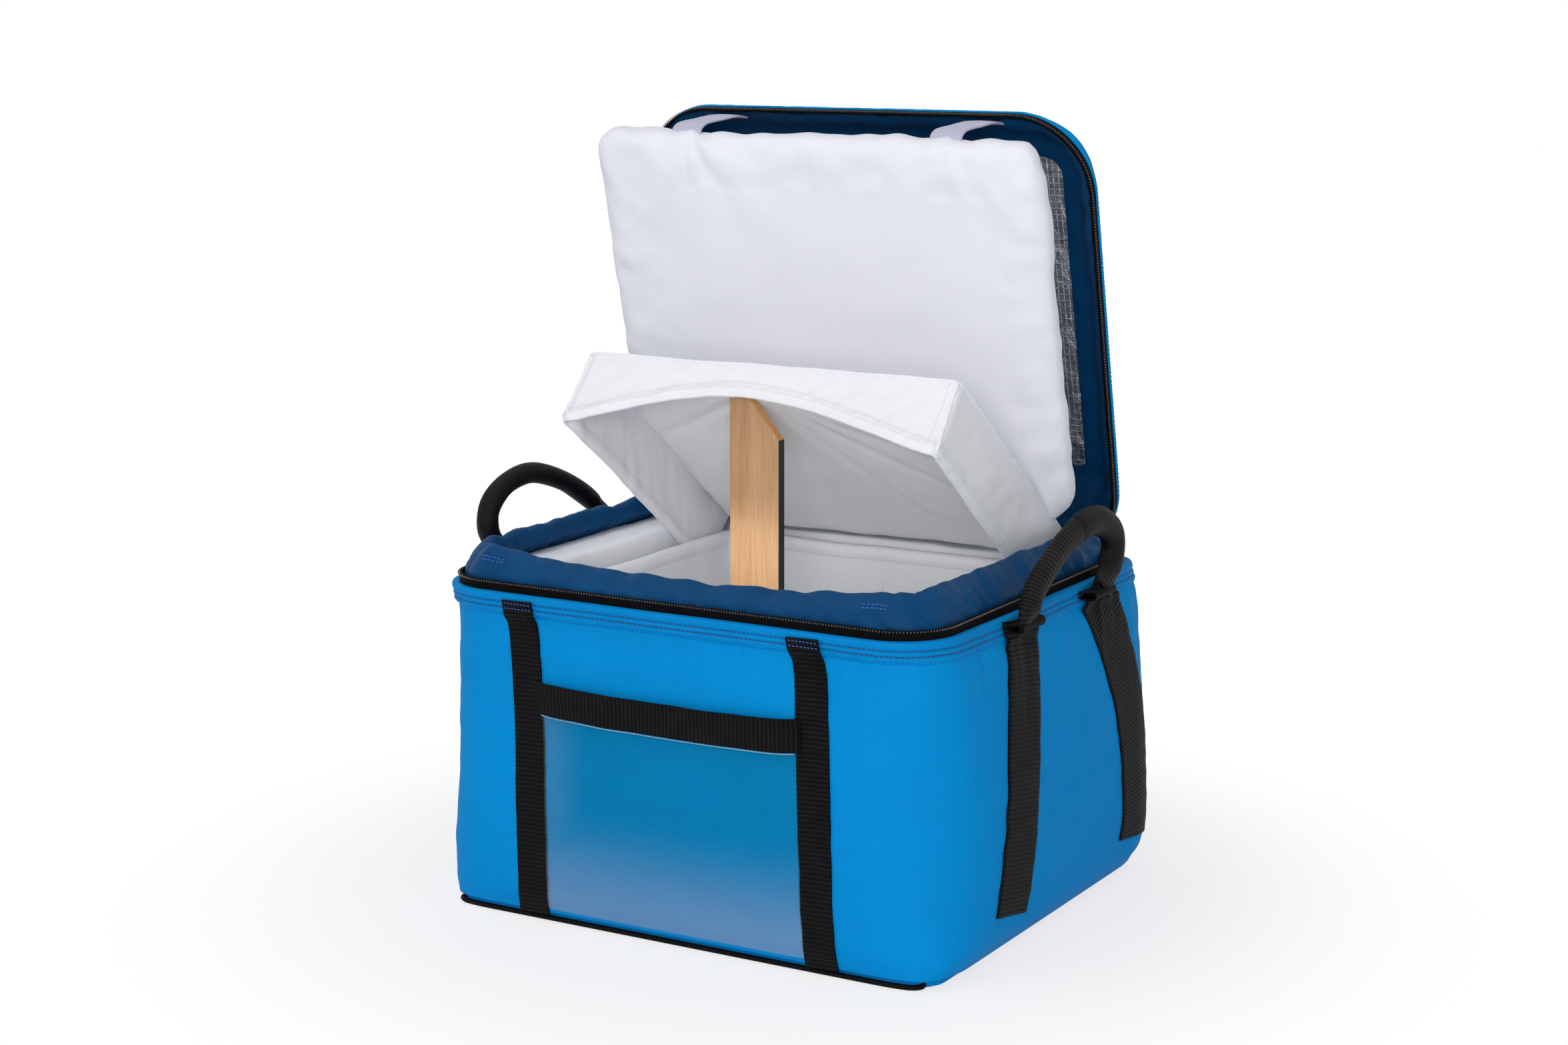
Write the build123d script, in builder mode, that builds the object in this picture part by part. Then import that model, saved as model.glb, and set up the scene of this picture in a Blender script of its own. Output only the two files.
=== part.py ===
"""Soft insulated vaccine carrier, standing open.

A padded tub with a zipped, rear-hinged lid holds a lidded payload box between insulation pads.
+X is the user's right, -Y the front and +Z up; the origin is the middle of the base, on the ground.
Both lids are drawn open: the outer one leans just short of upright, the inner one rests on a prop.
"""

import os
from math import cos, radians, sin, sqrt, tan

from build123d import *

os.makedirs("parts", exist_ok=True)

# Main sizes, in millimetres and degrees
zip_width = 466.0  # zip loop, left to right
zip_depth = 398.0  # zip loop, front to rear
zip_height = 293.0  # parting plane of the zip, above the ground
corner_radius = 46.0  # upright corners, at the zip
lid_open_angle = 75.5  # outer lid, up from closed
inner_open_angle = 37.5  # payload lid, up from closed
play = 0.3  # between neighbouring soft pieces
running_play = 2.5  # between pieces that pass each other

# Tub wall; an inset is the distance from the zip loop inwards, so a bulge is negative
base_thickness = 4.0
foot_inset = 15.0
curl_inset = -3.0
curl_height = 24.0
low_bulge_inset = -12.0
low_bulge_height = 60.0
high_bulge_inset = -11.0
high_bulge_height = 150.0
shoulder_inset = -9.0
shoulder_height = 253.0
hem_inset = -5.0
lean_right = 4.0  # how far the bulging wall leans off the middle
lean_rear = 10.0
shoulder_lean = 0.7  # share of the lean that is left at the shoulder
wall_thickness = 11.0  # at the hem
foot_wall_thickness = 5.0
foot_taper_height = 42.0  # top of the taper inside the foot
piping_height = 6.0
piping_width = 3.0
piping_rounding = 1.8
hem_band_height = 16.0
hem_band_thickness = 1.8

# Zip
tape_height = 9.5
tape_thickness = 1.5
coil_size = 2.2
coil_drop = 1.2  # from the parting plane to each coil
zip_end_gap = 30.0  # from the rear of the zip loop to the zip's ends
slider_length = 16.0
slider_height = 10.0
slider_plate = 1.2
pull_length = 15.0
pull_width = 7.0
pull_thickness = 1.6
pull_eye_radius = 2.2
pull_pin_radius = 0.8
pull_reach = 9.4  # from the zip loop out to the pull's pin

# Rim collar, with heights above the parting plane
collar_height = 25.0
collar_foot = 9.0  # how far it reaches below the parting plane
collar_foot_inset = 2.1
collar_lean_inset = 4.5  # at the parting plane
collar_belly_height = 12.0
collar_belly_inset = 14.0
collar_ridge_inset = 25.5
collar_ridge_width = 4.0
collar_inner_inset = 34.0
collar_inner_height = 8.0

# Outer lid, with heights above the parting plane of the closed lid
ring_start = 6.0
ring_foot_inset = 2.0
ring_slope_height = 26.0
ring_lean = 11.0  # how far the ring leans in over its slope
ring_thickness = 1.7
ring_width = 50.0
lid_tub_height = 52.0
foil_thickness = 1.0
shell_thickness = 4.5
shell_corner_height = 56.0
shell_shoulder_height = 69.0
shell_shoulder_inset = 30.0
lid_crown_height = 72.0
lid_crown_inset = 44.0
hinge_radius = 5.0
hinge_web = 3.0
hinge_margin = 53.0  # from the side of the zip loop to the end of the hinge roll

# Pad that hangs inside the outer lid on two loops
pad_thickness = 24.0
pad_forward = 70.0  # face of the hanging pad, ahead of the lid's parting plane
pad_low_end = 59.0  # from the hinge line
pad_rounding = 8.0
pad_corner = 30.0
loop_width = 30.0
loop_thickness = 1.5
loop_spacing = 256.0
loop_lap = 12.0  # how far a loop lies on the pad's edge

# Insulation inside the tub
liner_thickness = 1.0
floor_pad_height = 49.0
rear_pad_drop = 8.0  # below the side pads

# Payload box and its lid
box_wall = 6.0
box_width = 338.0
box_centre = 12.0  # off the middle of the tub, to the right
box_rim_height = 278.0
box_rear = 148.0  # rear face, which carries the payload lid's hinge line
inner_lid_depth = 286.0
inner_lid_thickness = 22.0
skirt_depth = 66.0
skirt_wall = 5.0
skirt_side_play = 5.0
skirt_rounding = 4.0

# Prop stick
stick_width = 48.0
stick_thickness = 10.0
stick_centre = -2.0
stick_front = -64.0
stick_bevel_across = 29.0
stick_bevel_down = 34.0

# Webbing, handles and window pocket
strap_width = 30.0
strap_thickness = 2.0
strap_spacing = 276.0
strap_centre = -8.0  # middle of the two straps, off the middle of the tub
strap_low_end = 11.0
strap_high_end = 279.0
strap_lap = 4.0  # where a strap steps over the hem band
pocket_gap = 7.0
film_thickness = 0.8
film_edge = 1.2
pocket_low_end = 14.0
pocket_high_end = 212.0
pocket_band_height = 27.0
leg_width = 50.0
leg_low_end = 22.0
leg_high_end = 276.0
leg_spacing = 158.0
leg_middle = 33.0  # middle of each handle, rearwards of the bag's middle
front_leg_bow = 16.0  # rearwards, half-way down
rear_leg_bow = 44.0
rear_leg_slant = 66.0  # rearwards, at the foot
fold_radius = 3.5
fold_reach = 22.5  # from the zip loop out to the handle's hinge line
fold_width = 46.0
grip_across = 20.0
grip_along = 14.0
grip_height = 80.0  # from the hinge line to the middle of the grip
grip_bend = 46.0

hinge_y = zip_depth / 2
half_width = zip_width / 2
hem_top = zip_height - coil_drop - tape_height
hem_band_low = hem_top - hem_band_height
fold_height = leg_high_end - fold_radius
inner_inset = hem_inset + wall_thickness
inner_foot_inset = foot_inset + foot_wall_thickness
beyond = zip_width  # reaches past everything

ground = Plane.XY
parting = Plane.XY.offset(zip_height)
lid_up = (0, sin(radians(lid_open_angle)), cos(radians(lid_open_angle)))
lid_frame = Plane(origin=(0, hinge_y, zip_height), x_dir=(1, 0, 0), z_dir=lid_up)
lid_middle = Plane(
    origin=lid_frame.from_local_coords((0, -zip_depth / 2, 0)), x_dir=(1, 0, 0), z_dir=lid_up
)
inner_up = (0, sin(radians(inner_open_angle)), cos(radians(inner_open_angle)))
inner_frame = Plane(origin=(0, box_rear, box_rim_height), x_dir=(1, 0, 0), z_dir=inner_up)


def stack(plane, levels, ruled=True):
    """Solid through rounded rectangles, each a height, an inset from the zip loop and a lean."""
    with BuildPart() as body:
        for height, inset, *lean in levels:
            share = lean[0] if lean else 0
            with BuildSketch(plane.offset(height)):
                with Locations((share * lean_right, share * lean_rear)):
                    RectangleRounded(
                        zip_width - 2 * inset, zip_depth - 2 * inset, corner_radius - inset
                    )
        loft(ruled=ruled)
    return body.part


def block(plane, x_range, y_range, z_range):
    """Plain block between limits along a plane's own axes."""
    with BuildPart() as body:
        with BuildSketch(plane.offset(z_range[0])):
            with Locations((sum(x_range) / 2, sum(y_range) / 2)):
                Rectangle(x_range[1] - x_range[0], y_range[1] - y_range[0])
        extrude(amount=z_range[1] - z_range[0])
    return body.part


def wall_outline(grow=0.0):
    """Outer form of the tub, swollen by grow."""
    return stack(
        ground,
        [
            (base_thickness, foot_inset - grow),
            (curl_height, curl_inset - grow, shoulder_lean),
            (low_bulge_height, low_bulge_inset - grow, 1),
            (high_bulge_height, high_bulge_inset - grow, 1),
            (shoulder_height, shoulder_inset - grow, shoulder_lean),
            (hem_top, hem_inset - grow),
        ],
        ruled=False,
    )


def inside(low, high, gap):
    """Form of the tub's hollow between two heights, smaller by a gap all round."""
    levels = [(low, inner_inset + gap), (high, inner_inset + gap)]
    if low < foot_taper_height:
        levels[0] = (low, inner_foot_inset + gap)
        levels.insert(1, (foot_taper_height, inner_inset + gap))
    return stack(ground, levels)


def on_wall(region, z_range, inner, outer):
    """Piece of the layer between two distances outside the wall, within a region."""
    with BuildPart() as layer:
        add(wall_outline(outer))
        add(region, mode=Mode.INTERSECT)
        add(block(ground, (-beyond, beyond), (-beyond, beyond), z_range), mode=Mode.INTERSECT)
        add(wall_outline(inner), mode=Mode.SUBTRACT)
    return layer.part


def sewn_webbing(region, low_end, high_end):
    """Webbing sewn flat on the wall, which steps out over the hem band."""
    over_hem = hem_band_thickness + strap_thickness
    step_low = hem_band_low - strap_lap
    with BuildPart() as strip:
        add(on_wall(region, (low_end, hem_band_low), 0, strap_thickness))
        add(on_wall(region, (step_low, hem_band_low), 0, over_hem))
        add(on_wall(region, (step_low, high_end), hem_band_thickness, over_hem))
    return strip.part


def finish(builder, name):
    """Label a finished sub-part and write its STEP file."""
    builder.part.label = name
    export_step(builder.part, f"parts/{name}.step")


# Tub: base, padded wall, piping round the foot, and hem band under the zip
with BuildPart() as base_panel:
    add(stack(ground, [(0, foot_inset), (base_thickness, foot_inset)]))
finish(base_panel, "base_panel")

with BuildPart() as tub_wall:
    add(wall_outline())
    add(inside(base_thickness, hem_top, 0), mode=Mode.SUBTRACT)
finish(tub_wall, "tub_wall")

piping_inset = foot_inset - piping_width
with BuildPart() as foot_piping:
    add(stack(ground, [(0, piping_inset), (piping_height, piping_inset)]))
    fillet(foot_piping.edges().group_by(Axis.Z)[-1], piping_rounding)
    add(stack(ground, [(0, foot_inset), (base_thickness, foot_inset)]), mode=Mode.SUBTRACT)
    add(wall_outline(), mode=Mode.SUBTRACT)
    add(inside(base_thickness, hem_top, 0), mode=Mode.SUBTRACT)
finish(foot_piping, "foot_piping")

everywhere = block(ground, (-beyond, beyond), (-beyond, beyond), (0, zip_height))
with BuildPart() as hem_band:
    add(on_wall(everywhere, (hem_band_low, hem_top), 0, hem_band_thickness))
finish(hem_band, "hem_band")


# Zip: tape and coil run round the front and both sides and end at the rear corners
def zip_run(plane, low, high, outer, inner):
    """Band round three sides, between two heights and two insets."""
    with BuildPart() as run:
        add(stack(plane, [(low, outer), (high, outer)]))
        add(stack(plane, [(low, inner), (high, inner)]), mode=Mode.SUBTRACT)
        add(
            block(
                plane,
                (-beyond, beyond),
                (zip_depth / 2 - zip_end_gap, beyond),
                (low - 1, high + 1),
            ),
            mode=Mode.SUBTRACT,
        )
    return run.part


tape_high = coil_drop + tape_height
coil_high = coil_drop + coil_size
coil_inset = -tape_thickness - coil_size

with BuildPart() as body_zip_tape:
    add(zip_run(parting, -tape_high, -coil_drop, -tape_thickness, 0))
finish(body_zip_tape, "body_zip_tape")

with BuildPart() as body_zip_coil:
    add(zip_run(parting, -coil_high, -coil_drop, coil_inset, -tape_thickness))
finish(body_zip_coil, "body_zip_coil")

with BuildPart() as lid_zip_tape:
    add(zip_run(lid_middle, coil_drop, tape_high, -tape_thickness, 0))
finish(lid_zip_tape, "lid_zip_tape")

with BuildPart() as lid_zip_coil:
    add(zip_run(lid_middle, coil_drop, coil_high, coil_inset, -tape_thickness))
finish(lid_zip_coil, "lid_zip_coil")

# Hinge roll: folded cloth along the rear of the tub, on which the outer lid turns
hinge_half = half_width - hinge_margin
with BuildPart() as hinge_roll:
    with BuildSketch(Plane.YZ.offset(-hinge_half)):
        with Locations((hinge_y, zip_height)):
            Circle(hinge_radius)
        with Locations((hinge_y, (hem_top + zip_height) / 2)):
            Rectangle(hinge_web, zip_height - hem_top)
    extrude(amount=2 * hinge_half)
finish(hinge_roll, "hinge_roll")

# Collar: a padded roll that stands inside the zip and leans inwards
collar_clear_y = hinge_y - hinge_radius - 2 * play
with BuildPart() as rim_collar:
    add(
        stack(
            parting,
            [
                (-collar_foot, collar_foot_inset),
                (0, collar_lean_inset),
                (collar_belly_height, collar_belly_inset),
                (collar_height, collar_ridge_inset),
            ],
        )
    )
    add(
        stack(
            parting,
            [
                (-collar_foot, collar_inner_inset - 2 * play),
                (collar_inner_height, collar_inner_inset),
                (collar_height, collar_ridge_inset + collar_ridge_width),
            ],
        ),
        mode=Mode.SUBTRACT,
    )
    add(
        block(
            parting,
            (-hinge_half - running_play, hinge_half + running_play),
            (collar_clear_y, beyond),
            (-collar_foot - 1, collar_height),
        ),
        mode=Mode.SUBTRACT,
    )
finish(rim_collar, "rim_collar")

# Outer lid: cloth shell, foam, foil and the padded ring round its mouth
ring_inset = ring_foot_inset + ring_lean
ring_window_inset = ring_inset + ring_thickness + ring_width
ring_floor = lid_tub_height + ring_thickness
foil_low = ring_floor + play
foam_low = foil_low + foil_thickness + play
cavity_inset = ring_inset - 1.5 * play

with BuildPart() as lid_ring:
    add(
        stack(
            lid_middle,
            [
                (ring_start, ring_foot_inset),
                (ring_slope_height, ring_inset),
                (ring_floor, ring_inset),
            ],
        )
    )
    add(
        stack(
            lid_middle,
            [
                (ring_start, ring_foot_inset + ring_thickness),
                (ring_slope_height, ring_inset + ring_thickness),
                (lid_tub_height, ring_inset + ring_thickness),
            ],
        ),
        mode=Mode.SUBTRACT,
    )
    add(
        block(
            lid_middle,
            (-half_width + ring_window_inset, half_width - ring_window_inset),
            (-zip_depth / 2 + ring_window_inset, zip_depth / 2 - ring_window_inset),
            (lid_tub_height - 1, ring_floor + 1),
        ),
        mode=Mode.SUBTRACT,
    )
finish(lid_ring, "lid_ring")

with BuildPart() as lid_foil:
    add(
        stack(
            lid_middle,
            [(foil_low, ring_inset + play), (foil_low + foil_thickness, ring_inset + play)],
        )
    )
finish(lid_foil, "lid_foil")

cavity_top = shell_shoulder_height - 1
cavity_top_inset = shell_shoulder_inset + shell_thickness
with BuildPart() as lid_foam:
    add(
        stack(
            lid_middle,
            [
                (foam_low, ring_inset + play),
                (shell_corner_height, ring_inset + play),
                (cavity_top - play, cavity_top_inset + 2 * play),
            ],
        )
    )
finish(lid_foam, "lid_foam")

with BuildPart() as lid_shell:
    add(
        stack(
            lid_middle,
            [
                (tape_high, -tape_thickness),
                (ring_slope_height + shell_thickness, ring_inset - shell_thickness - 1),
                (shell_corner_height, ring_inset - shell_thickness),
                (shell_shoulder_height, shell_shoulder_inset),
                (lid_crown_height, lid_crown_inset),
            ],
        )
    )
    add(
        stack(
            lid_middle,
            [
                (ring_start, ring_foot_inset - 1.5 * play),
                (ring_slope_height, cavity_inset),
                (shell_corner_height + play, cavity_inset),
                (cavity_top, cavity_top_inset),
            ],
        ),
        mode=Mode.SUBTRACT,
    )
    add(
        block(
            lid_frame,
            (-hinge_half, hinge_half),
            (-hinge_web / 2, hinge_web / 2),
            (hinge_radius + play, tape_high),
        )
    )
finish(lid_shell, "lid_shell")

# Pad in the outer lid, and the two loops that carry it
pad_inset = ring_inset + ring_thickness + running_play
pad_high_end = zip_depth - pad_inset
with BuildPart() as lid_pad:
    with BuildSketch(lid_frame.offset(-pad_forward)):
        with Locations((0, -(pad_low_end + pad_high_end) / 2)):
            RectangleRounded(zip_width - 2 * pad_inset, pad_high_end - pad_low_end, pad_corner)
    extrude(amount=pad_thickness)
    fillet(lid_pad.faces().filter_by(lid_frame).edges(), pad_rounding)
finish(lid_pad, "lid_pad")

loop_tack = ring_start + 2
ring_slope = ring_lean / (ring_slope_height - ring_start)
loop_tack_inset = ring_foot_inset + ring_thickness + ring_slope * (loop_tack - ring_start)
loop_low = pad_high_end + play + loop_thickness / 2
for side, name in ((-1, "loop_left"), (1, "loop_right")):
    with BuildPart() as pad_loop:
        with BuildSketch(
            Plane(
                origin=lid_frame.from_local_coords((side * loop_spacing / 2 - loop_width / 2, 0, 0)),
                x_dir=lid_frame.y_dir,
                z_dir=(1, 0, 0),
            )
        ):
            with BuildLine() as run:
                Polyline(
                    (-loop_low, -pad_forward + pad_thickness - pad_rounding - loop_lap / 2),
                    (-loop_low, -pad_forward + pad_thickness),
                    (-zip_depth + loop_tack_inset + play + loop_thickness, loop_tack),
                )
            trace(line_width=loop_thickness)
        extrude(amount=loop_width)
    finish(pad_loop, name)

# Foil liner and insulation pads inside the tub
liner_gap = 2 * play
pads_gap = liner_gap + liner_thickness + liner_gap
liner_floor = base_thickness + play + liner_thickness
with BuildPart() as foil_liner:
    add(inside(base_thickness + play, hem_top, liner_gap))
    add(inside(liner_floor, hem_top, liner_gap + liner_thickness), mode=Mode.SUBTRACT)
finish(foil_liner, "foil_liner")

floor_pad_low = liner_floor + play
floor_pad_high = floor_pad_low + floor_pad_height
with BuildPart() as floor_pad:
    add(inside(floor_pad_low, floor_pad_high, pads_gap))
finish(floor_pad, "floor_pad")

box_half = box_width / 2
skirt_outer = box_half + skirt_side_play + skirt_wall
skirt_drop = skirt_depth - inner_lid_thickness
left_pad_face = box_centre - skirt_outer - running_play
right_pad_face = box_centre + skirt_outer + running_play
front_pad_face = box_rear - sqrt(inner_lid_depth**2 + skirt_drop**2) - running_play
rear_pad_face = box_rear + running_play
pad_low = floor_pad_high + play
pad_high = zip_height - collar_foot - play
between_pads = (left_pad_face + play, right_pad_face - play)
insulation = {
    "left_pad": ((-beyond, left_pad_face), (-beyond, beyond), pad_high),
    "right_pad": ((right_pad_face, beyond), (-beyond, beyond), pad_high),
    "front_pad": (between_pads, (-beyond, front_pad_face), pad_high),
    "rear_pad": (between_pads, (rear_pad_face, beyond), pad_high - rear_pad_drop),
}
for name, (x_range, y_range, top) in insulation.items():
    with BuildPart() as pad:
        add(inside(pad_low, top, pads_gap))
        add(block(ground, x_range, y_range, (pad_low, top)), mode=Mode.INTERSECT)
    finish(pad, name)

# Payload box, and its lid with a skirt on three sides
box_front = box_rear - sqrt((inner_lid_depth - skirt_wall) ** 2 - skirt_drop**2) + running_play
box_low = floor_pad_high + play
with BuildPart() as payload_box:
    add(
        block(
            ground,
            (box_centre - box_half, box_centre + box_half),
            (box_front, box_rear),
            (box_low, box_rim_height),
        )
    )
    add(
        block(
            ground,
            (box_centre - box_half + box_wall, box_centre + box_half - box_wall),
            (box_front + box_wall, box_rear - box_wall),
            (box_low + box_wall, box_rim_height),
        ),
        mode=Mode.SUBTRACT,
    )
finish(payload_box, "payload_box")

panel_half = skirt_outer - skirt_wall - play
with BuildPart() as inner_lid_panel:
    add(
        block(
            inner_frame,
            (box_centre - panel_half, box_centre + panel_half),
            (-inner_lid_depth + skirt_wall + play, 0),
            (play, inner_lid_thickness),
        )
    )
finish(inner_lid_panel, "inner_lid_panel")

with BuildPart() as inner_lid_skirt:
    with BuildSketch(inner_frame.offset(-skirt_drop)):
        with Locations((box_centre, -inner_lid_depth / 2)):
            Rectangle(2 * skirt_outer, inner_lid_depth)
    extrude(amount=skirt_depth)
    front_corners = inner_lid_skirt.edges().filter_by(Axis(inner_frame.origin, inner_up))
    fillet(front_corners.sort_by(Axis.Y)[:2], skirt_rounding)
    add(
        block(
            inner_frame,
            (box_centre - skirt_outer + skirt_wall, box_centre + skirt_outer - skirt_wall),
            (-inner_lid_depth + skirt_wall, 1),
            (-skirt_drop - 1, inner_lid_thickness + 1),
        ),
        mode=Mode.SUBTRACT,
    )
finish(inner_lid_skirt, "inner_lid_skirt")

# Prop stick: stands on the floor of the payload box under its lid
stick_back = stick_front + stick_thickness
stick_foot = box_low + box_wall + play
stick_top = box_rim_height + (box_rear - stick_back) * tan(radians(inner_open_angle)) - play
stick_left = stick_centre - stick_width / 2
stick_right = stick_centre + stick_width / 2
with BuildPart() as prop_stick:
    with BuildSketch(Plane.XZ.offset(-stick_back)):
        with BuildLine():
            Polyline(
                (stick_left, stick_foot),
                (stick_right, stick_foot),
                (stick_right, stick_top - stick_bevel_down),
                (stick_right - stick_bevel_across, stick_top),
                (stick_left, stick_top),
                close=True,
            )
        make_face()
    extrude(amount=stick_thickness)
finish(prop_stick, "prop_stick")

# Front straps, and the window pocket with its webbing band between them
front = (-beyond, -zip_depth / 4)
strap_offset = strap_spacing / 2
for middle, name in (
    (strap_centre - strap_offset, "strap_left"),
    (strap_centre + strap_offset, "strap_right"),
):
    strap_run = block(
        ground, (middle - strap_width / 2, middle + strap_width / 2), front, (0, zip_height)
    )
    with BuildPart() as strap:
        add(sewn_webbing(strap_run, strap_low_end, strap_high_end))
    finish(strap, name)

pocket_left = strap_centre - strap_offset + strap_width / 2 + play
pocket_right = strap_centre + strap_offset - strap_width / 2 - play
pocket_outer = pocket_gap + film_thickness
pocket_area = block(ground, (pocket_left, pocket_right), front, (0, zip_height))
with BuildPart() as window_pocket:
    add(on_wall(pocket_area, (pocket_low_end, pocket_high_end), pocket_gap, pocket_outer))
    for edge in (pocket_left, pocket_right - film_edge):
        film_side = block(ground, (edge, edge + film_edge), front, (0, zip_height))
        add(on_wall(film_side, (pocket_low_end, pocket_high_end), 0, pocket_outer))
    add(on_wall(pocket_area, (pocket_low_end, pocket_low_end + film_edge), 0, pocket_outer))
finish(window_pocket, "window_pocket")

with BuildPart() as pocket_band:
    add(
        on_wall(
            pocket_area,
            (pocket_high_end - pocket_band_height, pocket_high_end),
            pocket_outer + play,
            pocket_outer + play + strap_thickness,
        )
    )
finish(pocket_band, "pocket_band")

# Side handles: two sewn legs, a folded lug at the top of each, and a grip that swings on the lugs
leg_places = {
    "front": (leg_middle - leg_spacing / 2, front_leg_bow, 0),
    "rear": (leg_middle + leg_spacing / 2, rear_leg_bow, rear_leg_slant),
}
over_hem = hem_band_thickness + strap_thickness
for side, hand in ((-1, "left"), (1, "right")):
    fold_x = side * (half_width + fold_reach)
    for place, (middle, bow, slant) in leg_places.items():
        run = [
            (middle, leg_high_end + 1),
            (middle + bow, (leg_low_end + leg_high_end) / 2),
            (middle + slant, leg_low_end - 1),
        ]
        with BuildPart() as leg_run:
            with BuildSketch(Plane.YZ.offset(side * half_width / 2)):
                with BuildLine():
                    Polyline(
                        *[(y - leg_width / 2, z) for y, z in run],
                        *[(y + leg_width / 2, z) for y, z in reversed(run)],
                        close=True,
                    )
                make_face()
            extrude(amount=side * half_width)
        with BuildPart() as leg:
            add(sewn_webbing(leg_run.part, leg_low_end, leg_high_end))
        finish(leg, f"leg_{hand}_{place}")

        with BuildPart() as fold:
            with BuildSketch(Plane.XZ.offset(-(middle + fold_width / 2))):
                with Locations((fold_x, fold_height)):
                    Circle(fold_radius)
                with Locations((fold_x - side * fold_reach / 2, fold_height)):
                    Rectangle(fold_reach, fold_radius)
            extrude(amount=fold_width)
            add(wall_outline(over_hem), mode=Mode.SUBTRACT)
        finish(fold, f"fold_{hand}_{place}")

    foot = fold_height + fold_radius + play
    top = fold_height + grip_height
    with BuildPart() as grip:
        with BuildLine() as grip_path:
            FilletPolyline(
                (fold_x, leg_places["front"][0], foot),
                (fold_x, leg_places["front"][0], top),
                (fold_x, leg_places["rear"][0], top),
                (fold_x, leg_places["rear"][0], foot),
                radius=grip_bend,
            )
        with BuildSketch(Plane(origin=grip_path.line @ 0, x_dir=(1, 0, 0), z_dir=(0, 0, 1))):
            Ellipse(grip_across / 2, grip_along / 2)
        sweep(path=grip_path.line)
    finish(grip, f"grip_{hand}")

# Zip sliders: two plates joined by a web that runs between the coils, with a hinged pull
slider_y = zip_depth / 2 - corner_radius - slider_length / 2
web_half = coil_drop - play
for side, hand in ((-1, "left"), (1, "right")):
    outer_face = half_width - coil_inset + play
    inner_face = half_width - play
    plates = ((outer_face, outer_face + slider_plate), (inner_face - slider_plate, inner_face))
    pin_x = half_width + pull_reach
    y_range = (slider_y - slider_length / 2, slider_y + slider_length / 2)
    ear_half = pull_width / 2 + play
    with BuildPart() as slider:
        for near, out in plates:
            add(
                block(
                    parting,
                    sorted((side * near, side * out)),
                    y_range,
                    (-slider_height / 2, slider_height / 2),
                )
            )
        add(
            block(
                parting,
                sorted((side * (inner_face - slider_plate), side * (outer_face + slider_plate))),
                (slider_y, y_range[1]),
                (-web_half, web_half),
            )
        )
        for ear in (slider_y - ear_half - slider_plate, slider_y + ear_half):
            add(
                block(
                    parting,
                    sorted((side * outer_face, side * (pin_x + pull_pin_radius))),
                    (ear, ear + slider_plate),
                    (-pull_pin_radius, pull_pin_radius),
                )
            )
        with BuildSketch(Plane.XZ.offset(-(slider_y + ear_half))):
            with Locations((side * pin_x, zip_height)):
                Circle(pull_pin_radius)
        extrude(amount=2 * ear_half)
    finish(slider, f"slider_{hand}")

    with BuildPart() as pull:
        with BuildSketch(Plane.XZ.offset(-(slider_y + pull_width / 2))):
            with Locations((side * pin_x, zip_height)):
                Circle(pull_eye_radius)
            with Locations((side * pin_x, zip_height - pull_length / 2)):
                Rectangle(pull_thickness, pull_length)
            with Locations((side * pin_x, zip_height)):
                Circle(pull_pin_radius + play, mode=Mode.SUBTRACT)
        extrude(amount=pull_width)
    finish(pull, f"pull_{hand}")
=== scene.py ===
# Vaccine carrier, standing open: cloth, webbing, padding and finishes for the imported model.
import math

import bmesh
import bpy
from mathutils import Matrix, Vector, noise


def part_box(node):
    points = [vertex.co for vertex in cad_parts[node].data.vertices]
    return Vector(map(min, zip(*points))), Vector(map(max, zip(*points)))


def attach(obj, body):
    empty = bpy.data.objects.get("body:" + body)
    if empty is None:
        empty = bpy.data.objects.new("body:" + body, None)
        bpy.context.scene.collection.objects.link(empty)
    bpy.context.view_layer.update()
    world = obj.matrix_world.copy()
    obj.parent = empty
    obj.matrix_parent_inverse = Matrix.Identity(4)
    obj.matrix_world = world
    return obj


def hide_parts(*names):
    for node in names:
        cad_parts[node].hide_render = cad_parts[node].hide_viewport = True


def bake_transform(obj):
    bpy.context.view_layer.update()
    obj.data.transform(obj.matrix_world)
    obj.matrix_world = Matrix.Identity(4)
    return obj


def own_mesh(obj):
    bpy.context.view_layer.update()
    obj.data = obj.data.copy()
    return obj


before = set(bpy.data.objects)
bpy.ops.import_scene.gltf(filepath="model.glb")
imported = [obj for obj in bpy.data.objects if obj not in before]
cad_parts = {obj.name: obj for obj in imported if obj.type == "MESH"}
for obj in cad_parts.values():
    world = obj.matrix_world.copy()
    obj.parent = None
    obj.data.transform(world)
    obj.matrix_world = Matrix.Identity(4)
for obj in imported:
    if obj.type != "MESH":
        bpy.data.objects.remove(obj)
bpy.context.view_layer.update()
mm = 0.001


def colour(hexCode):
    parts = [int(hexCode[k : k + 2], 16) / 255 for k in (1, 3, 5)]
    linear = [c / 12.92 if c <= 0.04045 else ((c + 0.055) / 1.055) ** 2.4 for c in parts]
    return (*linear, 1.0)


def addNode(mat, kind, settings=None, links=None):
    # mat is a material or a world; keys that aren't sockets are the node's own settings
    node = mat.node_tree.nodes.new("ShaderNode" + kind)
    for key, value in (settings or {}).items():
        if isinstance(key, int) or key in node.inputs:
            node.inputs[key].default_value = value
        else:
            setattr(node, key, value)
    for key, socket in (links or {}).items():
        mat.node_tree.links.new(socket, node.inputs[key])
    return node


def newFinish(name, look):
    mat = bpy.data.materials.new(name)
    mat.use_nodes = True
    shader = mat.node_tree.nodes["Principled BSDF"]
    for key, value in look.items():
        shader.inputs[key].default_value = value
    return mat, shader


def tint(mat, shader, factor, low, high):
    # blends two colours of the same cloth by a 0 to 1 pattern
    blend = addNode(mat, "Mix", {"data_type": "RGBA", 6: colour(low), 7: colour(high)}, {0: factor})
    mat.node_tree.links.new(blend.outputs[2], shader.inputs["Base Color"])
    return blend.outputs[2]


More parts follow.
